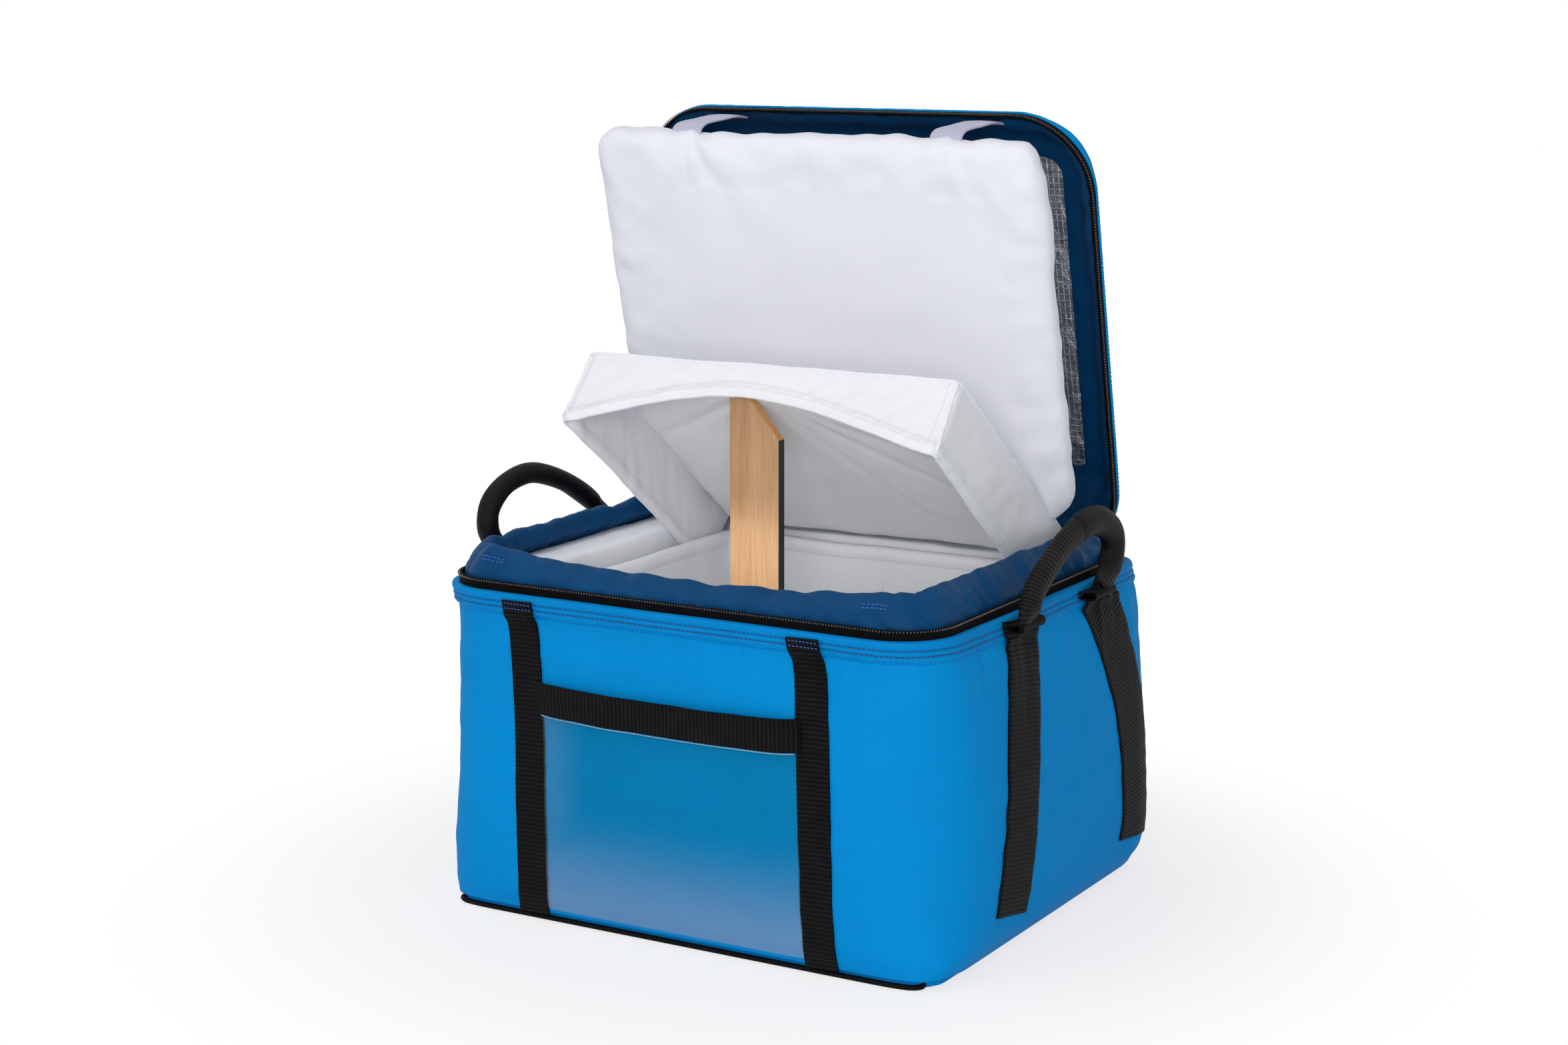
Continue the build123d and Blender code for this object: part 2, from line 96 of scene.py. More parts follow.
def bumps(mat, shader, layers):
    # each layer is (height socket, depth in metres, strength)
    last = None
    for height, depth, strength in layers:
        links = {"Height": height}
        if last:
            links["Normal"] = last
        last = addNode(mat, "Bump", {"Distance": depth, "Strength": strength}, links).outputs[0]
    mat.node_tree.links.new(last, shader.inputs["Normal"])


def bandScale(pitch):
    # a Wave texture repeats every 2 pi / 20 units at scale 1
    return math.pi / (10 * pitch)


def wovenFinish(name, low, high, rough, shine, weave, patch, crease, creaseDepth):
    # plain weave: warp and weft bumps, slow tone change, soft handling creases
    mat, shader = newFinish(name, {"Roughness": rough, "Specular IOR Level": shine})
    place = addNode(mat, "TexCoord").outputs["Object"]
    tone = addNode(
        mat, "TexNoise", {"Scale": 1 / patch, "Detail": 4.0, "Roughness": 0.6}, {"Vector": place}
    )
    tint(mat, shader, tone.outputs["Fac"], low, high)
    turned = addNode(
        mat, "Mapping", {"Rotation": (0.0, math.radians(45), math.radians(45))}, {"Vector": place}
    )
    warp = addNode(
        mat, "TexWave", {"Scale": bandScale(weave), "bands_direction": "X"}, {"Vector": turned.outputs[0]}
    )
    weft = addNode(mat, "TexWave", {"Scale": bandScale(weave), "bands_direction": "Z"}, {"Vector": place})
    cloth = addNode(mat, "Math", {"operation": "MAXIMUM"}, {0: warp.outputs["Fac"], 1: weft.outputs["Fac"]})
    folds = addNode(
        mat, "TexNoise", {"Scale": 1 / crease, "Detail": 5.0, "Distortion": 0.6}, {"Vector": place}
    )
    bumps(mat, shader, [(folds.outputs["Fac"], creaseDepth, 0.5), (cloth.outputs[0], weave * 0.12, 0.35)])
    return mat


def webbingFinish(name, low, high, rib, rough, shine):
    # ribs cross the strap: they follow the strap's own map, in metres along its run
    mat, shader = newFinish(name, {"Roughness": rough, "Specular IOR Level": shine})
    run = addNode(mat, "UVMap").outputs[0]
    ribs = addNode(
        mat, "TexWave",
        {"Scale": bandScale(rib), "bands_direction": "Y", "Distortion": 0.25, "Detail": 1.0},
        {"Vector": run}
    )
    yarn = addNode(mat, "TexWave", {"Scale": bandScale(rib * 0.8), "bands_direction": "X"}, {"Vector": run})
    tone = addNode(mat, "TexNoise", {"Scale": 60.0, "Detail": 3.0}, {"Vector": run})
    # the ribs are painted lighter on their crests than in their grooves (painted highlight and shade), times
    # a random tone
    both = addNode(mat, "Math", {"operation": "MULTIPLY"}, {0: ribs.outputs["Fac"], 1: tone.outputs["Fac"]})
    tint(mat, shader, both.outputs[0], low, high)
    bumps(mat, shader, [(ribs.outputs["Fac"], rib * 0.28, 0.9), (yarn.outputs["Fac"], rib * 0.06, 0.4)])
    return mat


print("finishes")
# 600D polyester with a PU coat: smooth, slightly glossy, even blue, faint crosswise ripple
shellCloth = wovenFinish(
    "coatedPolyesterBlue", "#0284C8", "#028ED3", 0.6, 0.04, 0.0011, 0.09, 0.028, 0.0005
)
hemCloth = wovenFinish("coatedPolyesterHem", "#027CBE", "#0288CE", 0.6, 0.05, 0.0011, 0.05, 0.012, 0.0005)
# 210D nylon over soft foam: satin, deep blue, small puckers along its seams
navyNylon = wovenFinish("satinNylonNavy", "#04375F", "#084A7A", 0.5, 0.08, 0.0010, 0.03, 0.016, 0.0035)
# brushed nylon over foam: matt, lavender white
padNylon = wovenFinish("softNylonLavender", "#E4E4EC", "#EEEEF4", 0.7, 0.08, 0.0012, 0.12, 0.05, 0.0008)
# coated cloth over foam: white with a little gloss, sharp handling creases
payloadCloth = wovenFinish("coatedClothWhite", "#E6E7EB", "#EFEFF2", 0.5, 0.15, 0.0012, 0.06, 0.016, 0.0012)
# the box's and the pads' copies of this white cloth are painted lighter than the payload lid's, painted light
# for the bag's shaded hollow
boxCloth = wovenFinish("coatedClothBox", "#EEF1F4", "#F7F8FA", 0.5, 0.15, 0.0012, 0.06, 0.03, 0.0009)
insulationCloth = wovenFinish(
    "coatedClothPads", "#EEF0F5", "#F7F8FA", 0.6, 0.12, 0.0012, 0.08, 0.035, 0.0009
)
# heavy coated cloth of the base, black
baseCloth = wovenFinish("heavyClothBlack", "#060608", "#0E0F11", 0.65, 0.08, 0.0016, 0.05, 0.02, 0.0004)
zipTapeCloth = wovenFinish("wovenZipTape", "#050507", "#0C0C0E", 0.75, 0.06, 0.0010, 0.02, 0.006, 0.0002)
# polypropylene webbing: black with a little shine; the crest of each rib is painted lighter, a painted
# highlight
webbing = webbingFinish("ribbedWebbingBlack", "#040405", "#222225", 0.0038, 0.6, 0.07)
gripWebbing = webbingFinish("rolledWebbingBlack", "#040405", "#34312C", 0.0034, 0.55, 0.1)
loopWebbing = webbingFinish("ribbedWebbingLavender", "#C4C3DA", "#E6E5F2", 0.0015, 0.65, 0.12)


def plainFinish(name, low, high, look, patch, grain, depth):
    mat, shader = newFinish(name, look)
    place = addNode(mat, "TexCoord").outputs["Object"]
    tone = addNode(mat, "TexNoise", {"Scale": 1 / patch, "Detail": 3.0}, {"Vector": place})
    tint(mat, shader, tone.outputs["Fac"], low, high)
    fine = addNode(mat, "TexNoise", {"Scale": 1 / grain, "Detail": 2.0}, {"Vector": place})
    bumps(mat, shader, [(fine.outputs["Fac"], depth, 0.6)])
    return mat


# nylon coil: brown-black with a warm shine on each tooth
coilNylon = plainFinish(
    "nylonCoilBrown", "#241F1B", "#5C554D", {"Roughness": 0.35, "Specular IOR Level": 0.5}, 0.004, 0.0012,
    0.0001
)
# polyester sewing threads, twisted
threadNavy = plainFinish(
    "threadNavy", "#03204A", "#063264", {"Roughness": 0.6, "Sheen Weight": 0.3}, 0.004, 0.0008, 0.0001
)
threadBlue = plainFinish(
    "threadBlue", "#0A58B8", "#1A70D8", {"Roughness": 0.6, "Sheen Weight": 0.3}, 0.004, 0.0008, 0.0001
)
threadWhite = plainFinish(
    "threadWhite", "#D8D9E0", "#F0F0F3", {"Roughness": 0.6, "Sheen Weight": 0.3}, 0.004, 0.0008, 0.0001
)
# closed-cell polyethylene foam, sealed in the lid
whiteFoam = plainFinish("closedCellFoam", "#E4E4DE", "#EFEFEA", {"Roughness": 0.8}, 0.02, 0.0015, 0.0003)
# die-cast zinc, black paint, worn a little on edges
blackZinc = plainFinish(
    "paintedZincBlack", "#121214", "#2C2C30",
    {"Roughness": 0.28, "Specular IOR Level": 0.6, "Coat Weight": 0.4, "Coat Roughness": 0.15}, 0.006,
    0.0015, 0.00008
)


def foilFinish(name, pitch):
    # aluminium laminate over a scrim: bright, crinkled, a thread grid pressed through it
    mat, shader = newFinish(name, {"Metallic": 0.92, "Roughness": 0.24})
    place = addNode(mat, "TexCoord").outputs["Object"]
    slope = addNode(mat, "Mapping", {"Rotation": (math.radians(14.5), 0.0, 0.0)}, {"Vector": place})
    across = addNode(
        mat, "TexWave", {"Scale": bandScale(pitch), "bands_direction": "X", "wave_profile": "TRI"},
        {"Vector": slope.outputs[0]}
    )
    along = addNode(
        mat, "TexWave", {"Scale": bandScale(pitch), "bands_direction": "Z", "wave_profile": "TRI"},
        {"Vector": slope.outputs[0]}
    )
    grid = addNode(
        mat, "Math", {"operation": "MAXIMUM"}, {0: across.outputs["Fac"], 1: along.outputs["Fac"]}
    )
    threads = addNode(mat, "MapRange", {"From Min": 0.78, "From Max": 0.95}, {"Value": grid.outputs[0]})
    crinkle = addNode(mat, "TexVoronoi", {"Scale": 70.0, "feature": "DISTANCE_TO_EDGE"}, {"Vector": place})
    ruck = addNode(
        mat, "TexNoise", {"Scale": 45.0, "Detail": 6.0, "Roughness": 0.65, "Distortion": 1.2},
        {"Vector": place}
    )
    tone = addNode(mat, "Math", {"operation": "MULTIPLY"}, {0: threads.outputs[0], 1: ruck.outputs["Fac"]})
    tint(mat, shader, tone.outputs[0], "#C2C6CE", "#EDF0F4")
    bumps(
        mat, shader,
        [
            (ruck.outputs["Fac"], 0.004, 0.8), (crinkle.outputs["Distance"], 0.0025, 0.5),
            (threads.outputs[0], 0.0004, 0.7)
        ]
    )
    return mat


# foil laminate, scrim threads about 5 mm apart
foil = foilFinish("scrimFoil", 0.005)


def plywoodFinish(name, endGrain=False):
    # birch plywood, sanded and unvarnished: fine upright grain, a few darker streaks
    mat, shader = newFinish(name, {"Roughness": 0.62, "Specular IOR Level": 0.3})
    place = addNode(mat, "TexCoord").outputs["Object"]
    drawn = addNode(mat, "Mapping", {"Scale": (1.0, 1.0, 0.045)}, {"Vector": place})
    grain = addNode(
        mat, "TexNoise", {"Scale": 420.0, "Detail": 6.0, "Roughness": 0.65}, {"Vector": drawn.outputs[0]}
    )
    figure = addNode(
        mat, "TexNoise", {"Scale": 55.0, "Detail": 3.0, "Distortion": 1.0}, {"Vector": drawn.outputs[0]}
    )
    mixed = addNode(
        mat, "Math", {"operation": "MULTIPLY_ADD", 1: 0.55},
        {0: figure.outputs["Fac"], 2: grain.outputs["Fac"]}
    )
    spread = addNode(mat, "MapRange", {"From Min": 0.45, "From Max": 1.05}, {"Value": mixed.outputs[0]})
    low, high = ("#C98A4C", "#E6AC6C") if endGrain else ("#A87C52", "#CBA27A")
    tint(mat, shader, spread.outputs[0], low, high)
    bumps(mat, shader, [(grain.outputs["Fac"], 0.00025, 0.5)])
    return mat


plywood = plywoodFinish("birchPlywood")
plywoodCut = plywoodFinish("birchPlywoodCut", True)
# iron-on edge band, black and nearly matt
edgeBand = plainFinish("blackEdgeBand", "#141415", "#1E1E20", {"Roughness": 0.55}, 0.02, 0.002, 0.0001)


def filmFinish(name):
    # clear PVC film: a faint grey-green cast; towards its foot and left edge it is painted lighter and less
    # clear, a painted sheen
    mat, shader = newFinish(name, {"Roughness": 0.2, "Specular IOR Level": 0.1})
    spot = addNode(mat, "UVMap").outputs[0]
    parts = addNode(mat, "SeparateXYZ", {}, {"Vector": spot})
    foot = addNode(
        mat, "MapRange",
        {
            "From Min": 0.1, "From Max": 0.0, "To Min": 0.0, "To Max": 1.0,
            "interpolation_type": "SMOOTHSTEP"
        },
        {"Value": parts.outputs["Y"]}
    )
    side = addNode(
        mat, "MapRange",
        {
            "From Min": 0.05, "From Max": 0.0, "To Min": 0.0, "To Max": 0.35,
            "interpolation_type": "SMOOTHSTEP"
        },
        {"Value": parts.outputs["X"]}
    )
    # painted sheen: lighter colour and more opacity towards the film's foot and left edge
    paintedSheen = addNode(mat, "Math", {"operation": "MAXIMUM"}, {0: foot.outputs[0], 1: side.outputs[0]})
    tint(mat, shader, paintedSheen.outputs[0], "#0B7A80", "#A9BCCA")
    cloud = addNode(mat, "TexNoise", {"Scale": 9.0, "Detail": 2.0}, {"Vector": spot})
    haze = addNode(mat, "Math", {"operation": "MULTIPLY_ADD", 1: 0.06, 2: 0.1}, {0: cloud.outputs["Fac"]})
    total = addNode(
        mat, "Math", {"operation": "MULTIPLY_ADD", 1: 0.07}, {0: paintedSheen.outputs[0], 2: haze.outputs[0]}
    )
    mat.node_tree.links.new(total.outputs[0], shader.inputs["Alpha"])
    ripple = addNode(mat, "TexNoise", {"Scale": 22.0, "Detail": 2.0}, {"Vector": spot})
    bumps(mat, shader, [(ripple.outputs["Fac"], 0.0012, 0.35)])
    return mat


clearFilm = filmFinish("clearVinylFilm")


def clamp(value):
    return min(max(value, 0), 1)


def smooth(value):
    f = clamp(value)
    return f * f * (3 - 2 * f)


def softNoise(*point):
    return noise.noise(Vector(point))


def finishPiece(name, bm, mat, away=None, smooth=True):
    # away is a point inside the piece that its faces turn their backs to
    bmesh.ops.recalc_face_normals(bm, faces=bm.faces)
    if away is not None:
        inside = Vector(away) * mm
        facing = sum(f.normal.dot(f.calc_center_median() - inside) * f.calc_area() for f in bm.faces)
        if facing < 0:
            bmesh.ops.reverse_faces(bm, faces=bm.faces)
    mesh = bpy.data.meshes.new(name)
    bm.to_mesh(mesh)
    bm.free()
    for one in mat if isinstance(mat, list) else [mat]:
        mesh.materials.append(one)
    if smooth:
        mesh.polygons.foreach_set("use_smooth", [True] * len(mesh.polygons))
    piece = bpy.data.objects.new(name, mesh)
    bpy.context.scene.collection.objects.link(piece)
    return piece


def makeSkin(name, across, along, place, mat, away=None, size=(1.0, 1.0), thick=0.0):
    # a grid whose u and v, 0 to 1, are sent to points in mm; size is its own map in metres
    bm = bmesh.new()
    bmesh.ops.create_grid(bm, x_segments=across, y_segments=along, size=0.5)
    run = bm.loops.layers.uv.new("run")
    for face in bm.faces:
        for corner in face.loops:
            corner[run].uv = ((corner.vert.co.x + 0.5) * size[0], (corner.vert.co.y + 0.5) * size[1])
    for vert in bm.verts:
        vert.co = Vector(place(vert.co.x + 0.5, vert.co.y + 0.5)) * mm
    bmesh.ops.remove_doubles(bm, verts=bm.verts, dist=0.00002)
    piece = finishPiece(name, bm, mat, away)
    if thick:
        skin = piece.modifiers.new("thickness", "SOLIDIFY")
        skin.thickness = thick * mm
        skin.offset = -1.0
        skin.use_even_offset = False
    return piece


def alongPath(points, v):
    # Catmull-Rom through points of any number of values, v from 0 to 1 by point
    at = min(max(v, 0.0), 1.0) * (len(points) - 1)
    k = min(int(at), len(points) - 2)
    f = at - k
    p0, p1, p2, p3 = (points[min(max(k + d, 0), len(points) - 1)] for d in (-1, 0, 1, 2))
    return [
        0.5 * (2 * b + (c - a) * f + (2 * a - 5 * b + 4 * c - d) * f * f + (3 * b - a - 3 * c + d) * f**3)
        for a, b, c, d in zip(p0, p1, p2, p3)
    ]


def makeTube(name, points, radius, mat, steps, sides=10, closed=False):
    # a round rolled piece along points in mm; radius is a number or a function of 0 to 1
    line = [Vector(alongPath(points, k / steps)) for k in range(steps + 1)]
    if closed:
        line = line[:-1] + [line[0]]
    heads = []
    for k, spot in enumerate(line):
        before = line[k - 1] if k else (line[-2] if closed else line[0])
        after = line[k + 1] if k < steps else (line[1] if closed else line[-1])
        ahead = (after - before).normalized()
        side = heads[-1][1] if heads else ahead.orthogonal()
        side = (side - ahead * side.dot(ahead)).normalized()
        heads.append((ahead, side, ahead.cross(side)))
    if closed:
        heads[-1] = heads[0]
    length = sum((b - a).length for a, b in zip(line, line[1:])) * mm

    def place(u, v):
        k = round(v * steps)
        r = radius(v) if callable(radius) else radius
        if not closed and k in (0, steps):
            r *= 0.05
        turn = 2 * math.pi * u
        return line[k] + (heads[k][1] * math.cos(turn) + heads[k][2] * math.sin(turn)) * r

    return makeSkin(name, sides, steps, place, mat, size=(0.02, length))


def sewStitches(name, spots, mat, size=(3.0, 0.9, 0.7)):
    # spots are (point, direction along the seam, outward direction) in mm; each stitch is one bead
    bm = bmesh.new()
    scale = Matrix.Diagonal((size[0] * mm, size[1] * mm, size[2] * mm, 1))
    for first in range(0, len(spots), 40):
        # small batches, because an operator slows down as its mesh grows
        batch = bmesh.new()
        for spot, ahead, out in spots[first : first + 40]:
            ahead = Vector(ahead).normalized()
            out = Vector(out)
            out = (out - ahead * out.dot(ahead)).normalized()
            turn = Matrix((ahead, out.cross(ahead), out)).transposed().to_4x4()
            matrix = Matrix.Translation(Vector(spot) * mm) @ turn @ scale
            bmesh.ops.create_uvsphere(batch, u_segments=6, v_segments=4, radius=0.5, matrix=matrix)
        sewn = bpy.data.meshes.new("batch")
        batch.to_mesh(sewn)
        batch.free()
        bm.from_mesh(sewn)
        bpy.data.meshes.remove(sewn)
    return finishPiece(name, bm, mat)


def runStitches(line, out, pitch):
    # stitches along a polyline of points in mm, with one outward direction or a function of the point
    spots = []
    left = pitch / 2
    for a, b in zip(line, line[1:]):
        a, b = Vector(a), Vector(b)
        span = (b - a).length
        while left < span:
            spot = a.lerp(b, left / span)
            spots.append((spot, b - a, out(spot) if callable(out) else out))
            left += pitch
        left -= span
    return spots


def give(piece, body, slot, *nodes):
    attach(piece, body)
    if nodes:
        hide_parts(*nodes)
    return piece


# the bag's plan is a rounded rectangle that every level is inset from
plan = {
    "width": 466.0, "depth": 398.0, "corner": 46.0, "zipHeight": 293.0, "leanRight": 5.0, "leanRear": 10.0,
    "squareCorner": 16.0, "roundCorner": 76.0
}


def loopPoint(t, width, depth, corner, inset=0.0):
    # t runs 0 to 1 from the middle of the rear, over the left side to the front and back
    a, b = width / 2 - corner, depth / 2 - corner
    arc = math.pi * corner / 2
    lengths = [a, arc, 2 * b, arc, 2 * a, arc, 2 * b, arc, a]
    s = (t % 1.0) * sum(lengths)
    k = 0
    while k < 8 and s > lengths[k]:
        s -= lengths[k]
        k += 1
    f = s / lengths[k]
    r = max(corner - inset, 3.0)
    hx, hy = width / 2 - inset - r, depth / 2 - inset - r
    hx, hy = max(hx, 0.0), max(hy, 0.0)
    if k % 2:
        angle = math.radians(90 * (k + 1) / 2 + 90 * f)
        cx, cy = [(-hx, hy), (-hx, -hy), (hx, -hy), (hx, hy)][k // 2]
        n = Vector((math.cos(angle), math.sin(angle), 0))
        return Vector((cx, cy, 0)) + n * r, n
    spans = {
        0: ((0, hy), (-hx, hy), 90), 2: ((-hx, hy), (-hx, -hy), 180), 4: ((-hx, -hy), (hx, -hy), 270),
        6: ((hx, -hy), (hx, hy), 0), 8: ((hx, hy), (0, hy), 90)
    }
    start, end, angle = spans[k]
    n = Vector((math.cos(math.radians(angle)), math.sin(math.radians(angle)), 0))
    return Vector((*start, 0)).lerp(Vector((*end, 0)), f) + n * r, n


def planPoint(t, inset=0.0, corner=plan["corner"]):
    return loopPoint(t, plan["width"], plan["depth"], corner, inset)


planA, planB = plan["width"] / 2 - plan["corner"], plan["depth"] / 2 - plan["corner"]
planArc = math.pi * plan["corner"] / 2
girth = 4 * planA + 4 * planB + 4 * planArc


def frontT(x):
    return (planA + planArc + 2 * planB + planArc + x + planA) / girth


def leftT(y):
    return (planA + planArc + planB - y) / girth


def rightT(y):
    return (planA + planArc + 2 * planB + planArc + 2 * planA + planArc + y + planB) / girth


wallLevels = [
    (4, -2, 0.5), (14, -12, 0.9), (28, -16, 1.0), (60, -17, 1.0), (150, -14, 1.0), (253, -9, 0.7),
    (283, -5, 0.0)
]


def wallLevel(z):
    # inset and lean of the wall at a height, rounded over the corners of its straight runs
    total = [0.0, 0.0]
    for step in (-9, -4.5, 0, 4.5, 9):
        h = min(max(z + step, 4), 283)
        for low, high in zip(wallLevels, wallLevels[1:]):
            if h <= high[0]:
                f = (h - low[0]) / (high[0] - low[0])
                total[0] += (low[1] + (high[1] - low[1]) * f) / 5
                total[1] += (low[2] + (high[2] - low[2]) * f) / 5
                break
    return total


# the two front straps run down the wall a little off the upright
straps = {"width": 30.0, "low": 6.5, "high": 279.0, "left": (-147.0, -140.0), "right": (126.5, 135.5)}


def strapMiddle(side, z):
    top, foot = straps[side]
    return foot + (top - foot) * (z - straps["low"]) / (straps["high"] - straps["low"])



def meetFade(t):
    # ripples die out at the middle of the rear, where a round's two ends meet
    return smooth(min(t % 1.0, 1 - t % 1.0) * girth / 20)


def wallRipple(t, z):
    # gathers under the hem, slow swells, and a slight dip under each front strap
    s = t * girth
    under = math.exp(-max(262 - z, 0) / 34) if z < 268 else 0.0
    gathers = 2.0 * under * softNoise(s / 9.5, z / 120, 3.1) + 2.0 * under * softNoise(s / 23, z / 160, 9.4)
    swell = 2.4 * softNoise(s / 95, z / 75, 1.7) + 0.9 * softNoise(s / 70, z / 15, 5.2)
    fade = clamp((z - 8) / 30)
    dip = 0.0
    for side in ("left", "right"):
        away = abs(s - frontT(strapMiddle(side, z)) * girth)
        dip -= 1.5 * math.exp(-((away / 17) ** 2))
    return (gathers + swell * fade) * meetFade(t) + dip * fade * clamp((270 - z) / 40)


def wallLoop(t, z, inset=0.0):
    # the corners are squarer at the foot and the rear, and the front right one is rounder
    spot, n = planPoint(t, inset)
    square = max(0.85 * math.exp(-z / 32), 0.5 * smooth((spot.y - 40) / 110))
    fuller = 0.7 * math.sin(
        math.pi * min(z / 290, 1)
    ) * smooth((spot.x - 140) / 50) * smooth((-spot.y - 40) / 90)
    for corner, share in ((plan["squareCorner"], square), (plan["roundCorner"], fuller)):
        other, otherN = planPoint(t, inset, corner)
        spot, n = spot.lerp(other, share), n.lerp(otherN, share).normalized()
    return spot, n


def wallPoint(t, z, out=0.0):
    inset, lean = wallLevel(z)
    spot, n = wallLoop(t, z)
    grown = out - inset + wallRipple(t, z)
    # the right side swells between its corners
    grown += 2.5 * max(n.x, 0) ** 3 * math.cos(
        math.pi * min(max(spot.y / 398, -0.5), 0.5)
    ) * math.sin(math.pi * min(z / 290, 1))
    spot = spot + n * grown + Vector((plan["leanRight"], plan["leanRear"], 0)) * lean
    return Vector((spot.x, spot.y, z)), n


print("tub")
tub = {"across": 440, "along": 120, "high": 270.0}
footPath = [(150, 1.2), (60, 1.4), (30, 1.6), (20, 2.0), (13.0, 3.0)]


def footHeight(spot):
    # the wall's foot hangs a little lower along the sides
    return 7.0 - 1.8 * smooth((spot.y + 178) / 30)


def tubPlace(u, v):
    foot = 0.12
    low = footHeight(wallLoop(u, 5)[0])
    if v < foot:
        f = v / foot
        inset, z = alongPath(footPath, f)
        spot = wallLoop(u, low, inset)[0]
        return (spot.x, spot.y, z + (low - 3.5) * f * f * f)
    z = low + (tub["high"] - low) * (v - foot) / (1 - foot)
    return wallPoint(u, z)[0]


tubCloth = makeSkin(
    "tubCloth", tub["across"], tub["along"], tubPlace, shellCloth, (0, 0, 150), (girth * mm, 0.28), 2.0
)
give(tubCloth, "bag", "shell_cloth", "tub_wall")

# hem: the cloth turned over under the zip, with two rows of topstitching in grooves
hem = {
    "section": [
        (264.5, 0.0), (266.5, 1.5), (268.8, 2.7), (270.4, 2.8), (271.6, 1.5), (272.8, 2.8), (275.0, 3.2),
        (276.3, 1.8), (277.6, 3.3), (280.0, 3.9), (282.2, 3.6), (283.4, 2.2), (283.4, -3.0), (275.0, -3.5),
        (265.5, -3.0), (264.5, 0.0)
    ],
    "rows": (271.6, 276.3)
}


def hemPlace(u, v):
    z, out = alongPath(hem["section"], v)
    s = u * girth
    pucker = 0.35 * softNoise(s / 5.0, z / 14, 2.2) + 0.3 * softNoise(s / 13, z / 30, 7.7)
    return wallPoint(u, z, out + pucker * meetFade(u))[0]


hemPiece = makeSkin("bagHem", 440, 44, hemPlace, hemCloth, size=(girth * mm, 0.05))
give(hemPiece, "bag", "hem_cloth", "hem_band")


def hemRow(z, out):
    return [wallPoint(k / 480, z, out)[0] for k in range(481)]


hemSpots = []
for row in hem["rows"]:
    hemSpots += runStitches(hemRow(row, 1.9), lambda p: Vector((p.x, p.y * 1.15, 0)), 4.2)
give(sewStitches("hemStitches", hemSpots, threadNavy, (3.3, 1.2, 1.0)), "bag", "hem_cloth")

# black piping round the foot
piping = {"radius": 2.3, "inset": 4.0, "height": 2.3, "foldInset": 1.0, "foldHeight": 2.6}
pipingLine = []
foldLine = []
for k in range(160):
    # it shows along the front only: at the sides a welt of the blue cloth covers it
    side = smooth((wallLoop(k / 160, 5)[0].y + 190) / 24)
    spot = wallLoop(k / 160, 5, piping["inset"] + 10 * side)[0]
    pipingLine.append((spot.x, spot.y, piping["height"]))
    spot = wallLoop(k / 160, 5, piping["foldInset"] + 9 * (1 - side))[0]
    foldLine.append((spot.x, spot.y, piping["foldHeight"]))
for name, line, radius, mat, slot in (
    ("footPiping", pipingLine, piping["radius"], baseCloth, "foot_piping"),
    ("footWelt", foldLine, piping["foldHeight"], shellCloth, "shell_cloth")
):
    tube = makeTube(name, line + line[:1], radius, mat, 480, 12, True)
    give(tube, "bag", slot, *(["foot_piping"] if slot == "foot_piping" else []))

print("zips")
zipRun = {"tooth": 2.6, "out": -2.6, "rise": 2.3}
zipStart = (planA + planArc * 0.33) / girth
lidPlan = {"narrow": 12.0, "narrowHinge": 17.0, "corner": 72.0, "short": 6.0}


def bodyRim(t, inset, height):
    spot, n = planPoint(t, inset)
    return Vector((spot.x, spot.y, plan["zipHeight"] + height)), n


lidHinge = {"y": 199.0, "z": 293.0, "open": math.radians(75.5)}
lidCos, lidSin = math.cos(lidHinge["open"]), math.sin(lidHinge["open"])


def lidSpot(x, ly, lz):
    # lid's own x, distance behind its front edge from the hinge (negative), height over the zip
    y = lidHinge["y"] + lidCos * ly + lidSin * lz
    return Vector((x, y, lidHinge["z"] - lidSin * ly + lidCos * lz))


def lidLocal(p):
    y, z = p.y - lidHinge["y"], p.z - lidHinge["z"]
    return Vector((p.x, lidCos * y - lidSin * z, lidSin * y + lidCos * z))


def lidTurn(v):
    return Vector((v.x, lidCos * v.y + lidSin * v.z, -lidSin * v.y + lidCos * v.z))


def lidRim(t, inset, height):
    # the open lid's mouth is drawn in, more towards its hinge, and its free corners are rounder
    spot, n = planPoint(t, inset)
    rounder, roundN = planPoint(t, inset, lidPlan["corner"])
    free = (199 - spot.y) / plan["depth"]
    spot, n = spot.lerp(rounder, free), n.lerp(roundN, free).normalized()
    narrow = lidPlan["narrowHinge"] + (lidPlan["narrow"] - lidPlan["narrowHinge"]) * free
    x = spot.x * (1 - narrow * 2 / plan["width"])
    return lidSpot(x, (spot.y - 199) * (1 - lidPlan["short"] / plan["depth"]), height), lidTurn(n)


def zipPieces(prefix, rim, sign, body):
    def tapePlace(u, v):
        t = zipStart + (1 - 2 * zipStart) * u
        section = [(-1.6, 1.2), (-1.6, 10.7), (0.2, 10.7), (0.2, 1.2), (-1.6, 1.2)]
        k = v * 4
        inset, h = [
            a + (b - a) * (k % 1) for a,
            b in zip(section[int(k) % 4], section[(int(k) + 1) % 5 if int(k) < 4 else 1])
        ]
        if k == 4:
            inset, h = section[0]
        sway = 0.25 * softNoise(t * girth / 26, 4.4, sign)
        return rim(t, inset + sway, sign * h)[0]

    tape = makeSkin(prefix + "ZipTape", 420, 24, tapePlace, zipTapeCloth, size=(girth * mm, 0.025))
    give(tape, body, "zip_tape", prefix + "_zip_tape")
    teeth = []
    count = round(girth * (1 - 2 * zipStart) / zipRun["tooth"])
    for k in range(count + 1):
        t = zipStart + (1 - 2 * zipStart) * k / count
        spot, n = rim(t, zipRun["out"], sign * zipRun["rise"])
        ahead = rim(t + 0.0008, zipRun["out"], sign * zipRun["rise"])[0] - spot
        teeth.append((spot, ahead.cross(n), n))
    coil = sewStitches(prefix + "ZipCoil", teeth, coilNylon, (1.9, 1.5, 1.9))
    give(coil, body, "zip_coil", prefix + "_zip_coil")


zipPieces("body", bodyRim, -1, "bag")
zipPieces("lid", lidRim, 1, "outer_lid")

